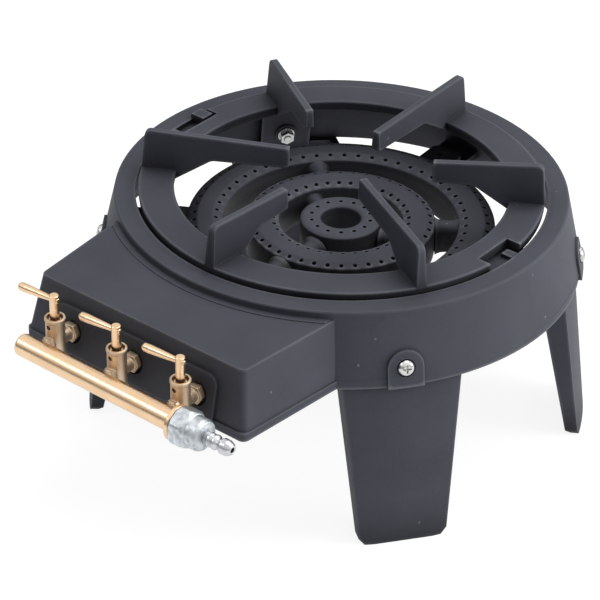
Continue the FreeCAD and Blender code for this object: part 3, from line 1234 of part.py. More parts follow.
# ---------------------------------------------------------------- manifold and hose connection
def manifold():
    pipe = cylinder("pipe_outside", "manifold_radius", "manifold_left + manifold_right", "-manifold_left", turn=TO_X)
    bore = cylinder("manifold_bore", "manifold_radius - manifold_wall", "manifold_left + manifold_right + 10",
                    "-manifold_left - 5", turn=TO_X)
    holes = [cylinder("branch_hole", "neck_radius + seating_gap", "manifold_radius + 2",
                      "%d * cock_pitch" % place, turn=TO_BACK) for place in SIDES.values()]
    node(cut("manifold_drilled", pipe, [bore] + holes), "manifold_pipe", "0", MANIFOLD_Y, "port_height")
    stopper = cylinder("stopper", "manifold_radius - manifold_wall - seating_gap", "stopper_length",
                       "-manifold_left", turn=TO_X)
    node(group("stopper_piece", [stopper]), "manifold_stopper", "0", MANIFOLD_Y, "port_height")
    collar = cylinder("collar", "collar_radius", "collar_length", "collar_start", turn=TO_X)
    eye = cylinder("collar_eye", "manifold_radius + seating_gap", "collar_length + 2", "collar_start - 1", turn=TO_X)
    node(cut("collar_piece", collar, [eye]), "manifold_collar", "0", MANIFOLD_Y, "port_height")


def hose_connection():
    """Union nut, fibre seal and ridged hose nipple at the pipe's open end."""
    flange_start = "(manifold_right + seal_thick)"
    flange_end = "(manifold_right + seal_thick + nipple_flange)"
    run = "(union_end - union_start)"
    nut_skin = revolved("union_skin", [
        ("union_start", "manifold_radius + seating_gap"),
        ("union_start", "union_radius - 0.8"),
        ("union_start + 0.8", "union_radius"),
        ("union_start + nut_hex_length", "union_radius"),
        ("union_start + nut_hex_length + nut_chamfer", "union_half - nut_step"),
        ("union_end - nut_nose_length", "union_half - nut_step"),
        ("union_end", "union_nose"),
        ("union_end", "nipple_shank + running_gap"),
        (flange_end + " + running_gap", "nipple_shank + running_gap"),
        (flange_end + " + running_gap", "manifold_radius + seating_gap"),
    ], "XY_Plane", "H_Axis")
    hexed = hexagon("union_hex", "union_half", run, "union_start", turn=TO_X)
    node(common("union_nut_piece", [nut_skin, hexed]), "union_nut", "0", MANIFOLD_Y, "port_height")
    disc = cylinder("seal_disc", "manifold_radius - running_gap", "seal_thick", "manifold_right", turn=TO_X)
    eye = cylinder("seal_eye", "nipple_shank - 1", "seal_thick + 2", "manifold_right - 1", turn=TO_X)
    node(cut("seal_piece", disc, [eye]), "union_seal", "0", MANIFOLD_Y, "port_height")
    node(revolved("nipple", [
        (flange_start, "nipple_bore"),
        (flange_start, "manifold_radius - running_gap"),
        (flange_end, "manifold_radius - running_gap"),
        (flange_end, "nipple_shank"),
        ("nipple_end - 20.5", "nipple_shank"),
        ("nipple_end - 19", "nipple_ridge"),
        ("nipple_end - 17.3", "nipple_ridge"),
        ("nipple_end - 16", "nipple_shank - 0.5"),
        ("nipple_end - 14.6", "nipple_ridge + 0.2"),
        ("nipple_end - 13.2", "nipple_ridge + 0.2"),
        ("nipple_end - 11.6", "nipple_shank - 0.6"),
        ("nipple_end - 10", "nipple_shank - 0.3"),
        ("nipple_end - 8.2", "nipple_bulb"),
        ("nipple_end - 4.2", "nipple_bulb"),
        ("nipple_end - 1.4", "nipple_bulb - 1.2"),
        ("nipple_end", "nipple_bulb - 2.6"),
        ("nipple_end", "nipple_bore"),
    ], "XY_Plane", "H_Axis"), "hose_nipple", "0", MANIFOLD_Y, "port_height")


# ---------------------------------------------------------------- build, check and write
drum_casting()
legs()
burner()
ring_covers()
burner_fasteners()
for cock_side in SIDES:
    mixing_tube(cock_side)
    air_shutter(cock_side)
    valve_body(cock_side)
    valve_plug(cock_side)
    lever(cock_side)
shutter_clips()
cock_fittings()
manifold()
hose_connection()
pot_grate()
doc.recompute()

for thing in doc.Objects:
    if "Invalid" in thing.State or "Error" in thing.State:
        raise RuntimeError("%s failed: %s" % (thing.Name, thing.State))

os.makedirs("parts", exist_ok=True)
for piece in nodes:
    shape = piece.Shape
    if shape.isNull() or not shape.isValid() or not shape.Solids:
        raise RuntimeError("%s has no sound solid" % piece.Label)
    shape.exportStep(os.path.join("parts", piece.Label + ".step"))
    box = shape.BoundBox
    print("%-22s %2d solid(s) %10.1f mm3  x %7.1f %7.1f  y %7.1f %7.1f  z %7.1f %7.1f" % (
        piece.Label, len(shape.Solids), shape.Volume, box.XMin, box.XMax, box.YMin, box.YMax,
        box.ZMin, box.ZMax))
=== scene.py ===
# %% [markdown]
# # A cast-iron gas range for a stock pot
# The range is a round drum of painted cast iron with three ring burners and a loose grate.
# Brass cocks stand on a gas pipe at its front. This lesson dresses the measured solids of
# the range with finishes, and rebuilds the pieces whose soft cast edges catch the light.
# Everything is in metres. +X is to the right, -Y is the front, and the floor is at Z = 0.

# %% Load the measured solids
import bpy
import bmesh
import json
import math
from mathutils import Matrix, Vector


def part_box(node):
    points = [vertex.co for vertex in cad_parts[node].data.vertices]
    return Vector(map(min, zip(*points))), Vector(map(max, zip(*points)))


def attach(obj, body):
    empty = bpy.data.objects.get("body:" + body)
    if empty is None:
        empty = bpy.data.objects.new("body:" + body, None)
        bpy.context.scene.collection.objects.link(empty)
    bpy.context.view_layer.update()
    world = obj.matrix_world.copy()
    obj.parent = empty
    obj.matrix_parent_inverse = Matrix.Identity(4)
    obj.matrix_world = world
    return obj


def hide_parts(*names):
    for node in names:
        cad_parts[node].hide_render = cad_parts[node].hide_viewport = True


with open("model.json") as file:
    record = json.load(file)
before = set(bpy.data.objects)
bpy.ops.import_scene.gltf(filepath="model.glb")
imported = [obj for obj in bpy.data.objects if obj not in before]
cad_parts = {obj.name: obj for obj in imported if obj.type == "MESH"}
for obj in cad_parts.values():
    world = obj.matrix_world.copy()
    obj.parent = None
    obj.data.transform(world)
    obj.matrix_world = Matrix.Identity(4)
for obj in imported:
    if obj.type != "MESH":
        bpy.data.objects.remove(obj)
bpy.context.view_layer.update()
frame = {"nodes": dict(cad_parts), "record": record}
cad = frame["nodes"]

# %% [markdown]
# ## Camera
# The photograph looks down at the range from the front right, from far away with a long
# lens, so its edges hardly converge. The place, the angles and the lens were solved from
# the circles of the drum and the corners of the box. A small roll was in the photograph too.

# %% Make the camera
CAMERA_PLACE = Vector((0.9806, -1.2288, 1.1373))
CAMERA_TURN = math.radians(38.553)
CAMERA_RISE = math.radians(33.226)
CAMERA_ROLL = math.radians(1.011)
LENS_MM = 153.8


def make_camera():
    """The camera's axes are built one by one: back, right and up, then rolled."""
    back = Vector((math.sin(CAMERA_TURN) * math.cos(CAMERA_RISE),
                   -math.cos(CAMERA_TURN) * math.cos(CAMERA_RISE), math.sin(CAMERA_RISE)))
    right = Vector((0, 0, 1)).cross(back).normalized()
    up = back.cross(right)
    roll_cos, roll_sin = math.cos(CAMERA_ROLL), math.sin(CAMERA_ROLL)
    axes = Matrix((right * roll_cos + up * roll_sin, up * roll_cos - right * roll_sin, back))
    data = bpy.data.cameras.new("camera")
    data.lens = LENS_MM
    data.sensor_width = 36.0
    data.clip_start = 0.05
    data.clip_end = 20.0
    camera = bpy.data.objects.new("camera", data)
    camera.matrix_world = Matrix.Translation(CAMERA_PLACE) @ axes.transposed().to_4x4()
    bpy.context.scene.collection.objects.link(camera)
    bpy.context.scene.camera = camera
    return camera


camera = make_camera()
print("camera looks along", tuple(round(v, 3) for v in -camera.matrix_world.col[2].xyz))

# %% [markdown]
# ## Light and floor
# A studio photographer lights dark iron with a broad, soft lamp above and a second one at
# the right, so that the right side of the drum is lighter than its front. A small lamp at
# the front left puts a bright line on the gas pipe and on the levers. The floor and
# the world show plain white to the camera. Metal sees a sky that is white above and grey
# at the horizon, because polished brass needs something dark to mirror.

# %% Helpers for node trees
def node(tree, kind, place=(0, 0), **settings):
    """Add a node and set its settings by name. A setting that names an input sets its value."""
    made = tree.nodes.new(kind)
    made.location = place
    for name, value in settings.items():
        if hasattr(made, name):
            setattr(made, name, value)
        else:
            made.inputs[name.replace("_", " ").title()].default_value = value
    return made


def link(tree, source, target):
    tree.links.new(source, target)


def math_node(tree, operation, first, second=None, clamp=False):
    """A Math node whose inputs may be numbers or sockets."""
    made = tree.nodes.new("ShaderNodeMath")
    made.operation = operation
    made.use_clamp = clamp
    for socket, value in zip(made.inputs, (first, second)):
        if value is None:
            continue
        if isinstance(value, bpy.types.NodeSocket):
            tree.links.new(value, socket)
        else:
            socket.default_value = value
    return made.outputs[0]


def mix_color(tree, factor, first, second, blend="MIX"):
    """A Mix node for colours whose inputs may be values or sockets."""
    made = tree.nodes.new("ShaderNodeMix")
    made.data_type = "RGBA"
    made.blend_type = blend
    for socket, value in ((made.inputs[0], factor), (made.inputs[6], first), (made.inputs[7], second)):
        if isinstance(value, bpy.types.NodeSocket):
            tree.links.new(value, socket)
        else:
            socket.default_value = value
    return made.outputs[2]


def ramp(tree, value, low, high):
    """Map a range of a value to 0..1, clamped."""
    made = tree.nodes.new("ShaderNodeMapRange")
    tree.links.new(value, made.inputs[0])
    made.inputs[1].default_value = low
    made.inputs[2].default_value = high
    return made.outputs[0]


# %% World
scene = bpy.context.scene
scene.view_settings.view_transform = "Standard"
SKY_BASE = 0.06
SKY_ABOVE = 0.64
SKY_RIGHT = 0.46
MIRROR_HORIZON = 0.13
MIRROR_TOP = 0.95


def make_world():
    """Soft light from above and from the right, and a sky with a dark horizon for mirrors."""
    world = bpy.data.worlds.new("studio")
    world.use_nodes = True
    tree = world.node_tree
    tree.nodes.clear()
    rays = node(tree, "ShaderNodeLightPath")
    place = node(tree, "ShaderNodeTexCoord")
    split = node(tree, "ShaderNodeSeparateXYZ")
    link(tree, place.outputs["Generated"], split.inputs[0])
    high = math_node(tree, "POWER", ramp(tree, split.outputs["Z"], -0.1, 1.0), 1.9)
    above = math_node(tree, "MULTIPLY", high, SKY_ABOVE)
    aside = node(tree, "ShaderNodeVectorMath", operation="DOT_PRODUCT")
    link(tree, place.outputs["Generated"], aside.inputs[0])
    aside.inputs[1].default_value = (0.86, 0.48, 0.17)
    right = math_node(tree, "MULTIPLY", ramp(tree, aside.outputs["Value"], 0.0, 1.0), SKY_RIGHT)
    soft = math_node(tree, "ADD", math_node(tree, "ADD", above, right), SKY_BASE)
    height = ramp(tree, split.outputs["Z"], 0.12, 0.50)
    mirror = math_node(tree, "ADD", math_node(tree, "MULTIPLY", height, MIRROR_TOP - MIRROR_HORIZON),
                       MIRROR_HORIZON)
    mirror = math_node(tree, "ADD", mirror, math_node(tree, "MULTIPLY", right, 0.6))
    glossy = math_node(tree, "MULTIPLY", rays.outputs["Is Glossy Ray"],
                       math_node(tree, "SUBTRACT", mirror, soft))
    seen = math_node(tree, "MAXIMUM", rays.outputs["Is Camera Ray"],
                     rays.outputs["Is Transmission Ray"])
    strength = math_node(tree, "MAXIMUM", math_node(tree, "ADD", glossy, soft), seen)
    shade = node(tree, "ShaderNodeBackground")
    shade.inputs["Color"].default_value = (1, 1, 1, 1)
    link(tree, strength, shade.inputs["Strength"])
    out = node(tree, "ShaderNodeOutputWorld")
    link(tree, shade.outputs[0], out.inputs[0])
    scene.world = world


make_world()
print("sky strength above", SKY_ABOVE, "right", SKY_RIGHT, "mirrored", MIRROR_HORIZON, "to", MIRROR_TOP)


# %% Lamps
def area_lamp(name, place, aim, size, watts):
    data = bpy.data.lights.new(name, "AREA")
    data.shape = "DISK"
    data.size = size
    data.energy = watts
    lamp = bpy.data.objects.new(name, data)
    lamp.location = place
    lamp.rotation_euler = (Vector(aim) - Vector(place)).to_track_quat("-Z", "Y").to_euler()
    scene.collection.objects.link(lamp)


RANGE_MIDDLE = (0.0, 0.03, 0.14)
area_lamp("lamp_top", (0.1, 0.5, 1.9), RANGE_MIDDLE, 1.2, 10.0)
area_lamp("lamp_right", (1.7, 1.0, 0.8), RANGE_MIDDLE, 0.9, 20.0)
area_lamp("lamp_left", (-1.04, -1.16, 1.56), RANGE_MIDDLE, 0.5, 3.0)

# %% Floor
FLOOR_SHADOW = 0.30
FLOOR_WHITE = 1.25


def make_floor():
    """White to the camera, with a little of the true shadow mixed in."""
    mesh = bpy.data.meshes.new("floor")
    reach = 6.0
    mesh.from_pydata([(-reach, -reach, 0), (reach, -reach, 0), (reach, reach, 0), (-reach, reach, 0)],
                     [], [(0, 1, 2, 3)])
    floor = bpy.data.objects.new("floor", mesh)
    scene.collection.objects.link(floor)
    material = bpy.data.materials.new("floor_white")
    material.use_nodes = True
    tree = material.node_tree
    tree.nodes.clear()
    rays = node(tree, "ShaderNodeLightPath")
    diffuse = node(tree, "ShaderNodeBsdfDiffuse", Color=(0.86, 0.86, 0.86, 1))
    white = node(tree, "ShaderNodeEmission", Strength=FLOOR_WHITE)
    seen = math_node(tree, "MAXIMUM", rays.outputs["Is Camera Ray"],
                     math_node(tree, "MULTIPLY", rays.outputs["Is Glossy Ray"], 0.8))
    seen = math_node(tree, "MULTIPLY", seen, 1.0 - FLOOR_SHADOW)
    mixed = node(tree, "ShaderNodeMixShader")
    link(tree, seen, mixed.inputs[0])
    link(tree, diffuse.outputs[0], mixed.inputs[1])
    link(tree, white.outputs[0], mixed.inputs[2])
    out = node(tree, "ShaderNodeOutputMaterial")
    link(tree, mixed.outputs[0], out.inputs[0])
    mesh.materials.append(material)


make_floor()
print("floor shows", FLOOR_SHADOW, "of its true shadow")


# %% [markdown]
# ## Effects that several finishes share
# Cast iron and brass are lighter on their edges, partly rubbed and partly a painted highlight,
# and darker in their corners with painted shade. One ray-traced look inside the solid finds
# edges, and one look outside finds corners. Both are shader groups, so each finish uses them with its own
# width and strength.

# %% Group: edges rubbed light with a painted highlight, and painted shade in corners
def new_group(name, inputs, outputs):
    """An empty shader group with float inputs and named outputs."""
    tree = bpy.data.node_groups.new(name, "ShaderNodeTree")
    for label, value in inputs:
        socket = tree.interface.new_socket(label, in_out="INPUT", socket_type="NodeSocketFloat")
        socket.default_value = value
    for label, kind in outputs:
        tree.interface.new_socket(label, in_out="OUTPUT", socket_type=kind)
    return tree, tree.nodes.new("NodeGroupInput"), tree.nodes.new("NodeGroupOutput")


def make_wear_and_shade_group():
    """Masks for edges, found inside the solid, and for corners, found outside it. The corner mask places
    painted shade; the edge mask places rubbed paint and a painted highlight.
    """
    tree, given, result = new_group("edges_and_corners", [("Edge Width", 0.0012), ("Corner Reach", 0.012)],
                                    [("Edge", "NodeSocketFloat"), ("Corner", "NodeSocketFloat")])
    inside = node(tree, "ShaderNodeAmbientOcclusion", samples=8, inside=True, only_local=True)
    outside = node(tree, "ShaderNodeAmbientOcclusion", samples=8)
    link(tree, given.outputs[0], inside.inputs["Distance"])
    link(tree, given.outputs[1], outside.inputs["Distance"])
    edge = ramp(tree, inside.outputs["AO"], 0.80, 0.45)
    corner = ramp(tree, outside.outputs["AO"], 0.92, 0.34)
    link(tree, edge, result.inputs[0])
    link(tree, corner, result.inputs[1])
    return tree


wear_and_shade_group = make_wear_and_shade_group()
print("group:", wear_and_shade_group.name)


# %% Group: sand-cast skin
def make_grain_group():
    """Fine sand grain, soft cloudy patches, and small nicks."""
    tree, given, result = new_group("casting_skin", [("Grain Scale", 600.0), ("Patch Scale", 22.0),
                                                     ("Nick Scale", 70.0)],
                                    [("Grain", "NodeSocketFloat"), ("Patch", "NodeSocketFloat"),
                                     ("Nick", "NodeSocketFloat")])
    place = node(tree, "ShaderNodeTexCoord")
    grain = node(tree, "ShaderNodeTexNoise", Detail=3.0, Roughness=0.6)
    patch = node(tree, "ShaderNodeTexNoise", Detail=4.0, Roughness=0.55)
    nick = node(tree, "ShaderNodeTexVoronoi")
    nick.inputs["Randomness"].default_value = 1.0
    for texture, socket in ((grain, 0), (patch, 1), (nick, 2)):
        link(tree, place.outputs["Object"], texture.inputs["Vector"])
        link(tree, given.outputs[socket], texture.inputs["Scale"])
    rare = node(tree, "ShaderNodeTexWhiteNoise", noise_dimensions="3D")
    link(tree, nick.outputs["Position"], rare.inputs["Vector"])
    chosen = math_node(tree, "GREATER_THAN", rare.outputs["Value"], 0.74)
    dot = ramp(tree, nick.outputs["Distance"], 0.085, 0.03)
    link(tree, grain.outputs["Fac"], result.inputs[0])
    link(tree, patch.outputs["Fac"], result.inputs[1])
    link(tree, math_node(tree, "MULTIPLY", chosen, dot), result.inputs[2])
    return tree


grain_group = make_grain_group()
print("group:", grain_group.name)


# %% Helpers for materials
def start_material(name):
    material = bpy.data.materials.new(name)
    material.use_nodes = True
    tree = material.node_tree
    tree.nodes.clear()
    shade = node(tree, "ShaderNodeBsdfPrincipled")
    out = node(tree, "ShaderNodeOutputMaterial", (300, 0))
    link(tree, shade.outputs[0], out.inputs[0])
    return material, tree, shade


def use_group(tree, group, **values):
    made = tree.nodes.new("ShaderNodeGroup")
    made.node_tree = group
    for name, value in values.items():
        made.inputs[name.replace("_", " ")].default_value = value
    return made


def soft_bump(tree, shade, height, strength, distance, edge_radius):
    """Round the sharp edges in the shading, then add fine relief."""
    rounding = node(tree, "ShaderNodeBevel", samples=6)
    rounding.inputs["Radius"].default_value = edge_radius
    relief = node(tree, "ShaderNodeBump")
    relief.inputs["Strength"].default_value = strength
    relief.inputs["Distance"].default_value = distance
    link(tree, rounding.outputs[0], relief.inputs["Normal"])
    link(tree, height, relief.inputs["Height"])
    link(tree, relief.outputs[0], shade.inputs["Normal"])


# %% [markdown]
# ## Black heat paint on cast iron
# The iron is dark grey with a touch of blue. Handling has rubbed the paint light along
# the edges, and a painted highlight lightens them further; the corners get painted shade, and the sand of
# the mould left a fine grain. The grate and the burners lie deep in the drum, so a copy of the finish paints
# their corner shade from further off.

# %% Painted iron
def painted_iron(name, color, worn_and_lit, rough, edge=0.0038, reach=0.040):
    """Matt paint that is cloudy, rubbed to the lighter colour at edges and nicks, with a painted highlight
    on the edges and painted shade in corners.
    """
    material, tree, shade = start_material(name)
    skin = use_group(tree, grain_group)
    wear_and_shade = use_group(tree, wear_and_shade_group, Edge_Width=edge, Corner_Reach=reach)
    cloud = ramp(tree, skin.outputs["Patch"], 0.25, 0.75)
    base = mix_color(tree, cloud, [c * 0.82 for c in color] + [1], [c * 1.16 for c in color] + [1])
    fine = ramp(tree, skin.outputs["Grain"], 0.3, 0.7)
    base = mix_color(tree, math_node(tree, "MULTIPLY", fine, 0.40), base, [c * 1.35 for c in color] + [1])
    # Edges: rubbed paint together with a painted highlight, both in the lighter colour.
    worn_and_lit_edge = math_node(tree, "MULTIPLY", wear_and_shade.outputs["Edge"],
                       math_node(tree, "ADD", math_node(tree, "MULTIPLY", cloud, 0.6), 0.35), clamp=True)
    base = mix_color(tree, worn_and_lit_edge, base, list(worn_and_lit) + [1])
    base = mix_color(tree, math_node(tree, "MULTIPLY", skin.outputs["Nick"], 0.75), base, list(worn_and_lit) + [1])
    # Painted shade: corners darken towards a tenth of the paint colour.
    dark = math_node(tree, "MULTIPLY", wear_and_shade.outputs["Corner"], 0.95)
    base = mix_color(tree, dark, base, [c * 0.10 for c in color] + [1])
    link(tree, base, shade.inputs["Base Color"])
    shade.inputs["Specular IOR Level"].default_value = 0.26
    roughness = math_node(tree, "ADD", math_node(tree, "MULTIPLY", fine, 0.12), rough - 0.06)
    link(tree, roughness, shade.inputs["Roughness"])
    height = math_node(tree, "SUBTRACT", skin.outputs["Grain"],
                       math_node(tree, "MULTIPLY", skin.outputs["Nick"], 1.5))
    soft_bump(tree, shade, height, 0.25, 0.0003, 0.0011)
    return material


IRON = (0.057, 0.060, 0.077)
IRON_WORN_AND_LIT = (0.22, 0.225, 0.25)
iron = painted_iron("cast_iron_black", IRON, IRON_WORN_AND_LIT, 0.60)
# A copy with painted shade that reaches further, for the grate and the burners deep in the drum.
deep_shade_iron = painted_iron("cast_iron_black_deep", IRON, IRON_WORN_AND_LIT, 0.60, reach=0.090)
print("iron:", iron.name, deep_shade_iron.name)


# %% [markdown]
# ## Brass, zinc and nickel
# The pipe, levers and stems are turned and polished. The cock barrels are rough brass
# castings. The union nut is a zinc-plated casting with a mottled skin.

# %% Metals
def metal(name, color, dull, rough, bump=0.1, scale=500.0, patch=40.0, edge=0.0005, corner=0.35):
    """Metal whose colour and gloss wander between bright and dull patches, with edges lightened partly by
    rubbing and partly as a painted highlight, and painted shade in corners.
    """
    material, tree, shade = start_material(name)
    skin = use_group(tree, grain_group, Grain_Scale=scale, Patch_Scale=patch, Nick_Scale=300.0)
    wear_and_shade = use_group(tree, wear_and_shade_group, Edge_Width=edge, Corner_Reach=0.004)
    cloud = ramp(tree, skin.outputs["Patch"], 0.32, 0.68)
    base = mix_color(tree, cloud, list(color) + [1], list(dull) + [1])
    # Edges: lighter metal, partly rubbed bright and partly a painted highlight.
    bright = [min(1.0, c * 1.15) for c in color] + [1]
    base = mix_color(tree, math_node(tree, "MULTIPLY", wear_and_shade.outputs["Edge"], 0.6), base, bright)
    # Painted shade: corners darken towards a quarter of the dull colour, by the corner strength.
    base = mix_color(tree, math_node(tree, "MULTIPLY", wear_and_shade.outputs["Corner"], corner), base,
                     [c * 0.25 for c in dull] + [1])
    link(tree, base, shade.inputs["Base Color"])
    shade.inputs["Metallic"].default_value = 1.0
    spread = math_node(tree, "MULTIPLY", cloud, 0.10)
    link(tree, math_node(tree, "ADD", spread, rough), shade.inputs["Roughness"])
    soft_bump(tree, shade, skin.outputs["Grain"], bump, 0.0002, 0.0004)
    return material


brass = metal("brass_polished", (0.94, 0.69, 0.46), (0.86, 0.61, 0.38), 0.22, bump=0.03)
# The cast barrels get stronger painted corner shade.
sand_brass = metal("brass_cast", (0.76, 0.61, 0.45), (0.56, 0.43, 0.30), 0.44, bump=0.5, scale=900.0,
                   corner=0.7)
zinc = metal("zinc_cast", (0.74, 0.78, 0.81), (0.40, 0.43, 0.46), 0.38, bump=0.45, patch=260.0)
nickel = metal("nipple_nickel", (0.72, 0.73, 0.75), (0.52, 0.53, 0.55), 0.28, bump=0.10, patch=160.0)
steel = metal("zinc_steel", (0.70, 0.70, 0.68), (0.52, 0.52, 0.51), 0.22, bump=0.05)
fibre = painted_iron("seal_fibre", (0.20, 0.06, 0.04), (0.30, 0.12, 0.09), 0.8)

FINISHES = {"cast_iron_black": iron, "brass_polished": brass, "brass_cast": sand_brass, "zinc_cast": zinc,
            "nipple_nickel": nickel, "zinc_steel": steel, "seal_fibre": fibre}
print("finishes:", ", ".join(FINISHES))

# %% [markdown]
# ## Helpers that shape the pieces
# Most pieces of the range are turned or cast, so two shapes do most of the work: an outline
# of radii and heights that is turned round an axis, and a flat outline that gets a thickness.
# Every corner of an outline carries its own rounding, as the pattern of a casting does.

# %% Outlines with rounded corners
MM = 0.001
ARC_STEPS = 4


def rounded(points, steps=ARC_STEPS):
    """Corners (across, up, rounding) in millimetres become an outline with small arcs."""
    outline = []
    count = len(points)
    for i, (across, up, rounding) in enumerate(points):
        corner = Vector((across, up))
        into = Vector(points[i - 1][:2]) - corner
        out = Vector(points[(i + 1) % count][:2]) - corner
        turn = into.angle(out, math.pi)
        if rounding <= 0 or turn > math.pi - 0.05 or turn < 0.05:
            outline.append(corner * MM)
            continue
        reach = min(rounding / math.tan(turn / 2), 0.48 * into.length, 0.48 * out.length)
        radius = reach * math.tan(turn / 2)
        middle = corner + (into.normalized() + out.normalized()).normalized() * (radius / math.sin(turn / 2))
        first = corner + into.normalized() * reach - middle
        sweep = first.angle_signed(corner + out.normalized() * reach - middle)
        for step in range(steps + 1):
            outline.append((middle + Matrix.Rotation(-sweep * step / steps, 2) @ first) * MM)
    return outline


def turned_mesh(bm, outline, steps):
    """Turn a closed outline of (radius, height) round Z. A point at radius 0 becomes one pole."""
    rings = []
    for point in outline:
        if point.x < 1e-6:
            rings.append([bm.verts.new((0, 0, point.y))] * steps)
            continue
        turns = [math.tau * i / steps for i in range(steps)]
        rings.append([bm.verts.new((point.x * math.cos(a), point.x * math.sin(a), point.y)) for a in turns])
    for low, high in zip(rings, rings[1:] + rings[:1]):
        for i in range(steps):
            corners = [low[i], low[(i + 1) % steps], high[(i + 1) % steps], high[i]]
            corners = [v for k, v in enumerate(corners) if v not in corners[:k]]
            if len(corners) > 2:
                bm.faces.new(corners)


def thick_mesh(bm, outline, half_at):
    """Give an upright outline (across, up) a thickness along Y that may change with the height."""
    near = [bm.verts.new((p.x, -half_at(p.y), p.y)) for p in outline]
    far = [bm.verts.new((p.x, half_at(p.y), p.y)) for p in outline]
    bm.faces.new(near)
    bm.faces.new(list(reversed(far)))
    for i in range(len(outline)):
        k = (i + 1) % len(outline)
        bm.faces.new([near[k], near[i], far[i], far[k]])


def finish_mesh(name, bm, place=None):
    """Close a bmesh into an object at the origin, with its faces outwards and its place in its mesh."""
    if place is not None:
        bmesh.ops.transform(bm, matrix=place, verts=bm.verts)
    bmesh.ops.recalc_face_normals(bm, faces=bm.faces)
    mesh = bpy.data.meshes.new(name)
    bm.to_mesh(mesh)
    bm.free()
    piece = bpy.data.objects.new(name, mesh)
    scene.collection.objects.link(piece)
    return piece


def lathe(name, points, steps=96, place=None):
    bm = bmesh.new()
    turned_mesh(bm, rounded(points), steps)
    return finish_mesh(name, bm, place)


def block(name, low, high):
    """A plain block between two corners in millimetres, used to cut other pieces."""
    bm = bmesh.new()
    bmesh.ops.create_cube(bm, size=1)
    low, high = Vector(low) * MM, Vector(high) * MM
    place = Matrix.Translation((low + high) / 2) @ Matrix.Diagonal((*(high - low), 1))
    return finish_mesh(name, bm, place)


# %% Bake modifiers into plain meshes
def bake(piece):
    """Keep what the modifiers made as a plain mesh, and take the modifiers off."""
    bpy.context.view_layer.update()
    made = bpy.data.meshes.new_from_object(piece.evaluated_get(bpy.context.evaluated_depsgraph_get()))
    old = piece.data
    piece.modifiers.clear()
    piece.data = made
    bpy.data.meshes.remove(old)
    return piece


def drop(*pieces):
    """Delete helper pieces that have done their work."""
    for piece in pieces:
        mesh = piece.data
        bpy.data.objects.remove(piece)
        bpy.data.meshes.remove(mesh)


def combine(piece, other, operation):
    """Join, cut or intersect a piece with another one, and delete the other one."""
    boolean = piece.modifiers.new("combine", "BOOLEAN")
    boolean.operation = operation
    boolean.object = other
    boolean.solver = "EXACT"
    bake(piece)
    drop(other)
    return piece


def soften(piece, width_mm, steps=3, angle=30):
    """Round the sharp edges of a piece."""
    bevel = piece.modifiers.new("soften", "BEVEL")
    bevel.width = width_mm * MM
    bevel.segments = steps
    bevel.limit_method = "ANGLE"
    bevel.angle_limit = math.radians(angle)
    bevel.use_clamp_overlap = True
    return bake(piece)


def smooth(piece, angle=32):
    """Smooth shading, with sharp edges where faces meet at more than an angle."""
    mesh = piece.data
    mesh.polygons.foreach_set("use_smooth", [True] * len(mesh.polygons))
    mesh.set_sharp_from_angle(angle=math.radians(angle))
    weighted = piece.modifiers.new("weighted", "WEIGHTED_NORMAL")
    weighted.keep_sharp = True
    return bake(piece)


STOOD_FOR = []


def stand_in(piece, material, slot_name, body, *solids):
    """Give a finished piece its material and body, and let it stand for its measured solids."""
    piece.data.materials.clear()
    piece.data.materials.append(material)
    for face in piece.data.polygons:
        face.material_index = 0
    STOOD_FOR.extend(solids)
    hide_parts(*solids)
    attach(piece, body)
    print("%s: %d faces, stands for %s" % (piece.name, len(piece.data.polygons), ", ".join(solids)))
    return piece


# %% [markdown]
# ## Geometry Nodes: copies round the drum
# Fins, ports and spokes all repeat round one axis. The first tree turns copies of its own
# input about Z, joins them into one skin and gives it a material. The second drills a row of
# ports. Both take their sizes from named inputs, so one tree serves every ring.

# %% Build and run a tree
def geometry_tree(name, inputs):
    """An empty tree with a geometry input and output and the named inputs."""
    tree = bpy.data.node_groups.new(name, "GeometryNodeTree")
    tree.interface.new_socket("Geometry", in_out="INPUT", socket_type="NodeSocketGeometry")
    tree.interface.new_socket("Geometry", in_out="OUTPUT", socket_type="NodeSocketGeometry")
    for label, kind in inputs:
        tree.interface.new_socket(label, in_out="INPUT", socket_type="NodeSocket" + kind)
    return tree, tree.nodes.new("NodeGroupInput"), tree.nodes.new("NodeGroupOutput")


def run_tree(piece, tree, **values):
    """Run a tree on a piece with its inputs set by name, and keep the result as a plain mesh."""
    modifier = piece.modifiers.new(tree.name, "NODES")
    modifier.node_group = tree
    for item in tree.interface.items_tree:
        if item.in_out == "INPUT" and item.name.replace(" ", "_") in values:
            modifier[item.identifier] = values[item.name.replace(" ", "_")]
    return bake(piece)


# %% Tree: copies round the axis
def make_copies_tree():
    tree, given, result = geometry_tree("copies_round_axis", [("Count", "Int"), ("Start", "Float"),
                                                              ("Material", "Material")])
    points = node(tree, "GeometryNodePoints")
    place = node(tree, "GeometryNodeInstanceOnPoints")
    index = node(tree, "GeometryNodeInputIndex")
    turn = node(tree, "ShaderNodeCombineXYZ")
    real = node(tree, "GeometryNodeRealizeInstances")
    dress = node(tree, "GeometryNodeSetMaterial")
    step = math_node(tree, "DIVIDE", math.tau, given.outputs["Count"])
    start = math_node(tree, "RADIANS", given.outputs["Start"])
    angle = math_node(tree, "ADD", math_node(tree, "MULTIPLY", index.outputs[0], step), start)
    link(tree, given.outputs["Count"], points.inputs["Count"])
    link(tree, points.outputs[0], place.inputs["Points"])
    link(tree, given.outputs["Geometry"], place.inputs["Instance"])
    link(tree, angle, turn.inputs["Z"])
    link(tree, turn.outputs[0], place.inputs["Rotation"])
    link(tree, place.outputs[0], real.inputs[0])
    link(tree, real.outputs[0], dress.inputs["Geometry"])
    link(tree, given.outputs["Material"], dress.inputs["Material"])
    link(tree, dress.outputs[0], result.inputs[0])
    return tree


copies_tree = make_copies_tree()


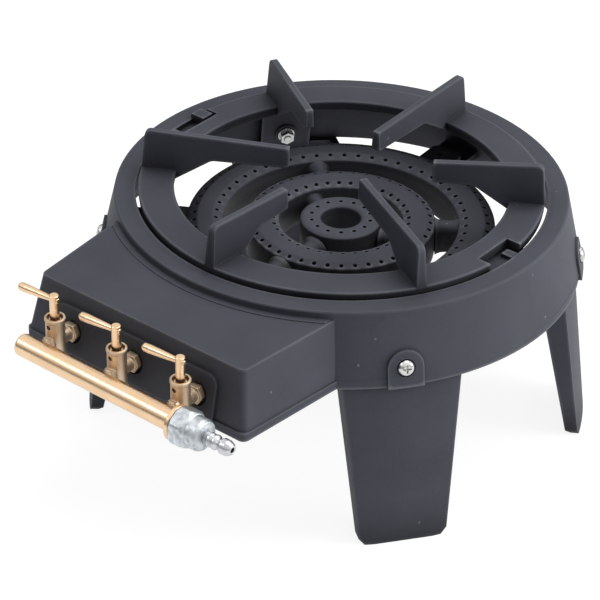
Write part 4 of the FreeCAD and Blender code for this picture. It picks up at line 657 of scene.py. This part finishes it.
# %% Tree: a row of flame ports
def make_ports_tree():
    """Drill a row of round ports, each a short cylinder that is taken out of the ring."""
    tree, given, result = geometry_tree("flame_ports", [("Count", "Int"), ("Row Radius", "Float"),
                                                        ("Port Radius", "Float"), ("Top", "Float"),
                                                        ("Depth", "Float"), ("Start", "Float"),
                                                        ("Material", "Material")])
    points = node(tree, "GeometryNodePoints")
    drill = node(tree, "GeometryNodeMeshCylinder")
    place = node(tree, "GeometryNodeInstanceOnPoints")
    index = node(tree, "GeometryNodeInputIndex")
    spot = node(tree, "ShaderNodeCombineXYZ")
    real = node(tree, "GeometryNodeRealizeInstances")
    cutting = node(tree, "GeometryNodeMeshBoolean", operation="DIFFERENCE", solver="EXACT")
    dress = node(tree, "GeometryNodeSetMaterial")
    step = math_node(tree, "DIVIDE", math.tau, given.outputs["Count"])
    turned = math_node(tree, "MULTIPLY", index.outputs[0], step)
    angle = math_node(tree, "ADD", turned, given.outputs["Start"])
    drill.inputs["Vertices"].default_value = 14
    link(tree, given.outputs["Port Radius"], drill.inputs["Radius"])
    link(tree, given.outputs["Depth"], drill.inputs["Depth"])
    link(tree, given.outputs["Count"], points.inputs["Count"])
    for axis, turn in (("X", "COSINE"), ("Y", "SINE")):
        reach = math_node(tree, "MULTIPLY", math_node(tree, turn, angle), given.outputs["Row Radius"])
        link(tree, reach, spot.inputs[axis])
    link(tree, given.outputs["Top"], spot.inputs["Z"])
    link(tree, spot.outputs[0], points.inputs["Position"])
    link(tree, points.outputs[0], place.inputs["Points"])
    link(tree, drill.outputs["Mesh"], place.inputs["Instance"])
    link(tree, place.outputs[0], real.inputs[0])
    link(tree, given.outputs["Geometry"], cutting.inputs["Mesh 1"])
    link(tree, real.outputs[0], cutting.inputs["Mesh 2"])
    link(tree, cutting.outputs[0], dress.inputs["Geometry"])
    link(tree, given.outputs["Material"], dress.inputs["Material"])
    link(tree, dress.outputs[0], result.inputs[0])
    return tree


ports_tree = make_ports_tree()
print("trees:", copies_tree.name, ports_tree.name)

# %% [markdown]
# ## The grate
# The grate lies loose in the drum's rim: a flat ring with six fins, three long and three
# short, and a notch at each side that keeps it from turning. Each fin is an outline seen
# from the side, thinner at the top so that it leaves the mould. Its edges are rounded
# before it is copied, and the ring and the fins are then joined into one casting.

# %% Places that the rings share
grate_low, grate_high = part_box("pot_grate")
DRUM_Y = (grate_low.y + grate_high.y) / 2 / MM
DRUM_AXIS = Matrix.Translation((0, DRUM_Y * MM, 0))
GRATE_BASE = grate_low.z / MM
FIN_TOP = grate_high.z / MM
GRATE_OUTER = (grate_high.y - grate_low.y) / 2 / MM
GRATE_INNER = 122.0
GRATE_THICK = 8.0
RING_TOP = GRATE_BASE + GRATE_THICK
FIN_SHOULDER = 145.5
FIN_FALL = 5.0
FIN_DEPTH = 15.5
FIN_BEND = 96.0
FIN_CREST = 5.4
FIN_ROOT = 9.2
FIN_EDGE = 1.3
LONG_TIP = 39.0
SHORT_TIP = 66.0
NOTCH_REACH = 136.5
NOTCH_NEAR = 19.5
NOTCH_FAR = 15.0


# %% One fin, and the whole grate
def fin(name, tip):
    tip_top = FIN_TOP - FIN_FALL
    outline = rounded([
        (tip, tip_top, 0.8), (FIN_SHOULDER, FIN_TOP, 4.5), (GRATE_OUTER - 0.3, RING_TOP, 0),
        (GRATE_OUTER - 0.8, GRATE_BASE + 0.4, 0), (GRATE_INNER + 1.2, GRATE_BASE + 0.4, 3.0),
        (FIN_BEND, tip_top - FIN_DEPTH, 8.0), (tip, tip_top - FIN_DEPTH, 2.0),
    ])

    def half_at(height):
        rise = (height / MM - GRATE_BASE) / (FIN_TOP - GRATE_BASE)
        return (FIN_ROOT + (FIN_CREST - FIN_ROOT) * rise) * MM / 2

    bm = bmesh.new()
    thick_mesh(bm, outline, half_at)
    return soften(finish_mesh(name, bm), FIN_EDGE)


def make_grate():
    ring = lathe("pot_grate_ring", [
        (GRATE_INNER, RING_TOP, 1.2), (GRATE_OUTER, RING_TOP, 1.0), (GRATE_OUTER - 1.0, GRATE_BASE, 0.5),
        (GRATE_INNER + 1.0, GRATE_BASE, 0.8)], 180)
    for side, far in ((1, NOTCH_FAR), (-1, NOTCH_NEAR)):
        reach = sorted((side * NOTCH_REACH, side * (GRATE_OUTER + 5)))
        notch = block("notch", (reach[0], min(-side * NOTCH_NEAR, side * far), GRATE_BASE - 1),
                      (reach[1], max(-side * NOTCH_NEAR, side * far), RING_TOP + 1))
        combine(ring, notch, "DIFFERENCE")
    for name, tip, start in (("fins_long", LONG_TIP, 90.0), ("fins_short", SHORT_TIP, 30.0)):
        fins = run_tree(fin(name, tip), copies_tree, Count=3, Start=start, Material=deep_shade_iron)
        combine(ring, fins, "UNION")
    ring.data.transform(DRUM_AXIS)
    ring.name = "cast_pot_grate"
    return stand_in(smooth(ring), deep_shade_iron, "cast_iron_black", "grate", "pot_grate")


make_grate()

# %% [markdown]
# ## The burners
# Three rings stand one inside the other. Each is a channel that is open below, with a
# bevelled top and one or two rows of drilled ports. The outer two are carried on spokes
# with round backs, and the outer ring has three ears that lie on shelves in the drum.

# %% Sizes of the burners
BURNER_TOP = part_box("core_burner_ring")[1].z / MM
RING_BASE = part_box("core_burner_ring")[0].z / MM
RING_SKIN = 6.5
RING_WALL = 3.0
PORT_RADIUS = 1.65
SPOKE_HALF = 7.0
SPOKE_STATIONS = 12
SPOKE_ARC = 16
EAR_TOP = 145.0
EAR_THICK = 6.0
EAR_ROOT = 112.6
EAR_REACH = 150.0
EAR_SCREW_REACH = 139.0
EAR_HALF = 13.0
EAR_HOLE = 3.25


# %% A ring with its ports
def burner_ring(name, inner, outer, bevel, bevel_drop, rows):
    top = BURNER_TOP
    skin = top - RING_SKIN
    ring = lathe(name, [
        (inner, RING_BASE, 0.6), (inner, top - bevel_drop, 1.6), (inner + bevel, top, 3.0),
        (outer - bevel, top, 3.0), (outer, top - bevel_drop, 1.6), (outer, RING_BASE, 0.6),
        (outer - RING_WALL, RING_BASE, 0.4), (outer - RING_WALL, skin, 1.0),
        (inner + RING_WALL, skin, 1.0), (inner + RING_WALL, RING_BASE, 0.4)], 144)
    for row_radius, count in rows:
        run_tree(ring, ports_tree, Count=count, Row_Radius=row_radius * MM, Port_Radius=PORT_RADIUS * MM,
                 Top=top * MM, Depth=2 * (RING_SKIN + 1) * MM, Material=deep_shade_iron)
    return ring


# %% Spokes and ears
def spoke(name, start, end, drop, angle, half=SPOKE_HALF, flare=4.0):
    """An upright web with a round back. It grows wider and taller where it meets a ring."""
    bm = bmesh.new()
    stations = []
    for step in range(SPOKE_STATIONS + 1):
        share = step / SPOKE_STATIONS
        grow = flare * (abs(2 * share - 1) ** 3)
        wide = half + grow
        crest = BURNER_TOP - drop - half
        tall = half + 0.5 * grow
        arc = [math.pi * i / SPOKE_ARC for i in range(SPOKE_ARC + 1)]
        section = [(-wide, RING_BASE), (wide, RING_BASE)]
        section += [(wide * math.cos(a), crest + tall * math.sin(a)) for a in arc]
        x = start + (end - start) * share
        stations.append([bm.verts.new((x * MM, y * MM, z * MM)) for y, z in section])
    bm.faces.new(stations[0])
    bm.faces.new(list(reversed(stations[-1])))
    for near, far in zip(stations, stations[1:]):
        for i in range(len(near)):
            k = (i + 1) % len(near)
            bm.faces.new([near[k], near[i], far[i], far[k]])
    return finish_mesh(name, bm, Matrix.Rotation(math.radians(angle), 4, "Z"))


def ear(angle):
    """A flat ear with a screw hole, seen from above as a rounded outline."""
    outline = rounded([(-EAR_HALF, 0, 0), (EAR_HALF, 0, 0), (EAR_HALF, EAR_REACH - EAR_ROOT, 5.0),
                       (-EAR_HALF, EAR_REACH - EAR_ROOT, 5.0)])
    bm = bmesh.new()
    low = (EAR_TOP - EAR_THICK) * MM
    flats = [[bm.verts.new((p.y + EAR_ROOT * MM, p.x, z)) for p in outline] for z in (low, EAR_TOP * MM)]
    bm.faces.new(flats[0])
    bm.faces.new(list(reversed(flats[1])))
    for i in range(len(outline)):
        k = (i + 1) % len(outline)
        bm.faces.new([flats[0][k], flats[0][i], flats[1][i], flats[1][k]])
    flat = soften(finish_mesh("ear", bm), 0.8)
    hole = lathe("ear_hole", [(0, EAR_TOP - 10, 0), (EAR_HOLE, EAR_TOP - 10, 0), (EAR_HOLE, EAR_TOP + 2, 0),
                              (0, EAR_TOP + 2, 0)], 32, Matrix.Translation((EAR_SCREW_REACH * MM, 0, 0)))
    combine(flat, hole, "DIFFERENCE")
    flat.data.transform(Matrix.Rotation(math.radians(angle), 4, "Z"))
    return flat


# %% Cast the three burners
def make_burner(name, ring, parts):
    for part in parts:
        combine(ring, part, "UNION")
    ring.data.transform(DRUM_AXIS)
    ring.name = "cast_" + name
    return stand_in(smooth(ring), deep_shade_iron, "cast_iron_black", "range", name)


OUTER_SPOKES = (40, 140, -90)
INNER_SPOKES = (25, 155, -90)
EARS = (94, -150, -30)
outer_ring = burner_ring("outer_ring", 86.5, 113.5, 8.0, 2.6, ((108.0, 60), (92.0, 54)))
outer_parts = [spoke("outer_spoke", 69.3, 88.0, 4.0, a) for a in OUTER_SPOKES] + [ear(a) for a in EARS]
make_burner("outer_burner_ring", outer_ring, outer_parts)
middle_ring = burner_ring("middle_ring", 45.4, 69.5, 6.5, 2.08, ((66.0, 42), (50.0, 36)))
middle_parts = [spoke("inner_spoke", 29.8, 47.0, 6.0, a) for a in INNER_SPOKES]
make_burner("middle_burner_ring", middle_ring, middle_parts)
core_ring = burner_ring("core_ring", 14.7, 30.0, 2.5, 1.04, ((22.0, 14),))
make_burner("core_burner_ring", core_ring, [])

# %% [markdown]
# ## The cocks
# Each cock is a small sand casting: a barrel with a neck to the pipe and a neck through the
# box front. Its parts are joined into one body, the skin is meshed again in even small
# squares and relaxed, and only then the bores are cut, so that castings look soft and
# machined holes look crisp.

# %% Sizes of the cocks
COCK_PITCH = 57.0
COCK_Y = -194.85
GAS_LINE = 147.2
BARREL_TOP = 19.8
BARREL_BASE = 16.0
NECK_RADIUS = 4.9
SKIN_GRAIN = 0.4
GRUB_DROP = 6.0


def along(axis_from, turn):
    """A place for a lathe piece: its axis starts at a point and is turned from Z."""
    return Matrix.Translation(Vector(axis_from) * MM) @ turn


TO_BACK = Matrix.Rotation(math.radians(-90), 4, "X")
TO_FRONT = Matrix.Rotation(math.radians(90), 4, "X")
TO_RIGHT = Matrix.Rotation(math.radians(90), 4, "Y")


def hexagon(name, half_flats, start, length, place):
    """A hexagonal bar along the place's Z."""
    radius = half_flats / math.cos(math.pi / 6)
    corners = [(radius * MM * math.cos(math.tau * i / 6), radius * MM * math.sin(math.tau * i / 6))
               for i in range(6)]
    bm = bmesh.new()
    ends = [[bm.verts.new((x, y, z * MM)) for x, y in corners] for z in (start, start + length)]
    bm.faces.new(list(reversed(ends[0])))
    bm.faces.new(ends[1])
    for i in range(6):
        k = (i + 1) % 6
        bm.faces.new([ends[0][i], ends[0][k], ends[1][k], ends[1][i]])
    return finish_mesh(name, bm, place)


# %% One cock body
def make_cock_body():
    body = lathe("cock_body", [
        (0, -BARREL_BASE, 0), (6.3, -BARREL_BASE, 1.0), (6.8, -13.0, 1.0), (6.8, BARREL_TOP - 2.9, 0.4),
        (7.4, BARREL_TOP - 2.4, 0.3), (7.4, BARREL_TOP, 0.5), (0, BARREL_TOP, 0)], 72)
    inlet = lathe("inlet", [(0, 0, 0), (NECK_RADIUS, 0, 0), (NECK_RADIUS, 11.5, 0), (0, 11.5, 0)], 48,
                  TO_FRONT)
    outlet = lathe("outlet", [(0, 0, 0), (NECK_RADIUS, 0, 0), (NECK_RADIUS, 33.0, 0.6), (0, 33.0, 0)], 48,
                   TO_BACK)
    for other in (inlet, outlet, hexagon("inlet_hex", 5.6, 5.8, 3.2, TO_FRONT),
                  hexagon("outlet_hex", 6.5, 12.4, 5.0, TO_BACK)):
        combine(body, other, "UNION")
    skin = body.modifiers.new("even_skin", "REMESH")
    skin.mode = "VOXEL"
    skin.voxel_size = SKIN_GRAIN * MM
    relax = body.modifiers.new("relax", "SMOOTH")
    relax.factor = 0.5
    relax.iterations = 3
    bake(body)
    bores = [
        lathe("plug_bore", [(0, -13.0, 0), (4.6, -13.0, 0), (4.6, 21, 0), (0, 21, 0)], 64),
        lathe("recess", [(0, BARREL_TOP - 3.2, 0), (5.7, BARREL_TOP - 3.2, 0), (5.7, BARREL_TOP + 1, 0),
                         (0, BARREL_TOP + 1, 0)], 64),
        lathe("grub_hole", [(0, 5, 0), (1.8, 5, 0), (1.8, 9, 0), (0, 9, 0)], 24,
              along((0, 0, BARREL_TOP - GRUB_DROP), TO_FRONT)),
        lathe("gas_way", [(0, 4, 0), (2.2, 4, 0), (2.2, 34, 0), (0, 34, 0)], 32, TO_BACK),
    ]
    for bore in bores:
        combine(body, bore, "DIFFERENCE")
    return smooth(body, 40)


cock_pattern = make_cock_body()
for side, name in ((-1, "left"), (0, "center"), (1, "right")):
    body = bpy.data.objects.new("cast_cock_" + name, cock_pattern.data.copy())
    scene.collection.objects.link(body)
    body.data.transform(Matrix.Translation(Vector((side * COCK_PITCH, COCK_Y, GAS_LINE)) * MM))
    stand_in(body, sand_brass, "brass_cast", "range", "valve_body_" + name)
drop(cock_pattern)

# %% [markdown]
# ## Levers
# A lever is a turned pin, thin where it goes through the stem and swelling to a round end.

# %% Turn the levers
LEVER_HEIGHT = 33.6
LEVER_DROOP = 4
LEVER_TURN = Matrix.Rotation(math.radians(-90 - LEVER_DROOP), 4, "Y")
LEVER_OUTLINE = [(0, -3.9, 0), (1.5, -3.9, 0.6), (1.9, -3.3, 0.3), (1.9, 3.4, 0.2), (2.0, 4.2, 0.3),
                 (2.6, 14.0, 8.0), (3.2, 26.5, 6.0), (3.1, 31.0, 2.2), (2.1, 32.7, 1.5), (0.6, 33.0, 0.4),
                 (0, 33.0, 0)]
for side, name in ((-1, "left"), (0, "center"), (1, "right")):
    place = along((side * COCK_PITCH, COCK_Y, GAS_LINE + LEVER_HEIGHT), LEVER_TURN)
    stand_in(smooth(lathe("turned_lever_" + name, LEVER_OUTLINE, 48, place), 50), brass, "brass_polished",
             "cock_" + name, "lever_" + name)

# %% [markdown]
# ## Gas pipe and hose connection
# The pipe is closed at its left end. At its right end a brass collar holds a plated union
# nut, which draws the ridged hose nipple on to the pipe. All of them are turned round the
# pipe's own axis; the nut is a turned form cut to six flats.

# %% The pipe with its collar
MANIFOLD_Y = -212.85
PIPE_PLACE = along((0, MANIFOLD_Y, GAS_LINE), TO_RIGHT)
pipe = lathe("gas_pipe", [(0, -72.5, 0), (8.2, -72.5, 2.2), (8.2, 78.0, 0.3), (6.4, 78.0, 0.2),
                          (6.4, -67.5, 1.0), (0, -67.5, 0)], 96, PIPE_PLACE)
stand_in(smooth(pipe), brass, "brass_polished", "range", "manifold_pipe", "manifold_stopper")
collar = hexagon("pipe_collar", 12.1, 67.8, 3.7, PIPE_PLACE)
collar_form = lathe("collar_form", [(8.25, 67.8, 0.1), (11.9, 67.8, 0.4), (12.7, 68.6, 0.3),
                                    (12.7, 70.8, 0.3), (11.9, 71.5, 0.4), (8.25, 71.5, 0.1)], 96, PIPE_PLACE)
combine(collar, collar_form, "INTERSECT")
stand_in(smooth(soften(collar, 0.35)), brass, "brass_polished", "range", "manifold_collar")

# %% The union nut
nut = hexagon("union_hexagon", 12.6, 72.3, 22.7, PIPE_PLACE)
nut_form = lathe("union_form", [
    (8.25, 72.3, 0.2), (13.0, 72.3, 0.6), (13.9, 73.2, 0.8), (13.9, 81.6, 1.0), (12.3, 84.2, 0.5),
    (11.5, 84.6, 0.5),
    (11.4, 91.6, 1.5), (10.4, 94.0, 1.5), (6.6, 95.0, 1.0), (4.45, 95.0, 0.2), (4.45, 82.6, 0.2),
    (8.25, 82.6, 0.2)], 120, PIPE_PLACE)
combine(nut, nut_form, "INTERSECT")
nut.name = "plated_union_nut"
stand_in(smooth(soften(nut, 0.5)), zinc, "zinc_cast", "range", "union_nut")

# %% The hose nipple
nipple = lathe("ridged_hose_nipple", [
    (1.9, 79.5, 0.2), (8.15, 79.5, 0.2), (8.15, 82.5, 0.2), (4.4, 82.5, 0), (4.4, 97.2, 0.5),
    (5.1, 98.6, 0.4), (5.1, 100.2, 0.4), (3.9, 101.4, 0.5), (5.3, 102.8, 0.4), (5.3, 104.3, 0.4),
    (3.8, 105.8, 1.0), (4.1, 107.4, 1.0), (5.6, 109.4, 1.0), (5.6, 113.2, 1.6), (4.4, 116.2, 1.2),
    (3.1, 117.5, 0.5), (1.9, 117.5, 0.3)], 96, PIPE_PLACE)
stand_in(smooth(nipple, 40), nickel, "nipple_nickel", "range", "hose_nipple")

# %% [markdown]
# ## Leg screws
# Four pan-head screws with a cross recess hold the legs to the drum. One screw is turned, its
# recess is cut, and it is set square on the drum's flared wall. The tree that copies round
# the axis then carries it to each leg.

# %% Turn and set the screws
WALL_TILT = math.atan2(10.8, 48.5)
SCREW_DROP = 41.0
RIM_TOP = 181.5
WALL_REACH = 165.8
SCREW_HEIGHT = RIM_TOP - SCREW_DROP
SCREW_REACH = WALL_REACH + SCREW_DROP * math.tan(WALL_TILT)
SCREW_TAIL = -20.9
LEG_ANGLES = (-36.9, 31.8, 143.8, -141.0)
SEAT_OUT = 2.0 * math.cos(WALL_TILT) - 0.8
HEAD_HIGH = 3.8


def make_screw():
    screw = lathe("leg_screw", [
        (0, SCREW_TAIL, 0), (2.6, SCREW_TAIL, 0.3), (3.0, SCREW_TAIL + 0.6, 0.2), (3.0, SEAT_OUT, 0.1),
        (5.8, SEAT_OUT, 0.2),
        (5.8, SEAT_OUT + 1.4, 0.8), (4.7, SEAT_OUT + 3.0, 2.2), (2.8, SEAT_OUT + 3.75, 1.5),
        (0, SEAT_OUT + HEAD_HIGH, 0)], 48)
    for size in ((3.0, 0.6), (0.6, 3.0)):
        slot = block("cross_slot", (-size[0], -size[1], SEAT_OUT + 1.6), (size[0], size[1], SEAT_OUT + 5))
        combine(screw, slot, "DIFFERENCE")
    square_on = Matrix.Rotation(math.pi / 2 - WALL_TILT, 4, "Y")
    screw.data.transform(along((SCREW_REACH, 0, SCREW_HEIGHT), square_on))
    return soften(screw, 0.12, 2, 40)


screws = None
for angle in LEG_ANGLES:
    screw = run_tree(make_screw(), copies_tree, Count=1, Start=angle, Material=steel)
    screws = screw if screws is None else combine(screws, screw, "UNION")
screws.data.transform(DRUM_AXIS)
screws.name = "pan_head_leg_screws"
stand_in(smooth(screws), steel, "zinc_steel", "range", "leg_screws")

# %% Dress the solids that stay
stood_for = set(STOOD_FOR)
for entry in frame["record"]["subparts"]:
    if entry["node"] not in stood_for:
        solid = cad[entry["node"]]
        solid.data.materials.clear()
        solid.data.materials.append(FINISHES[entry["material_slot"]])
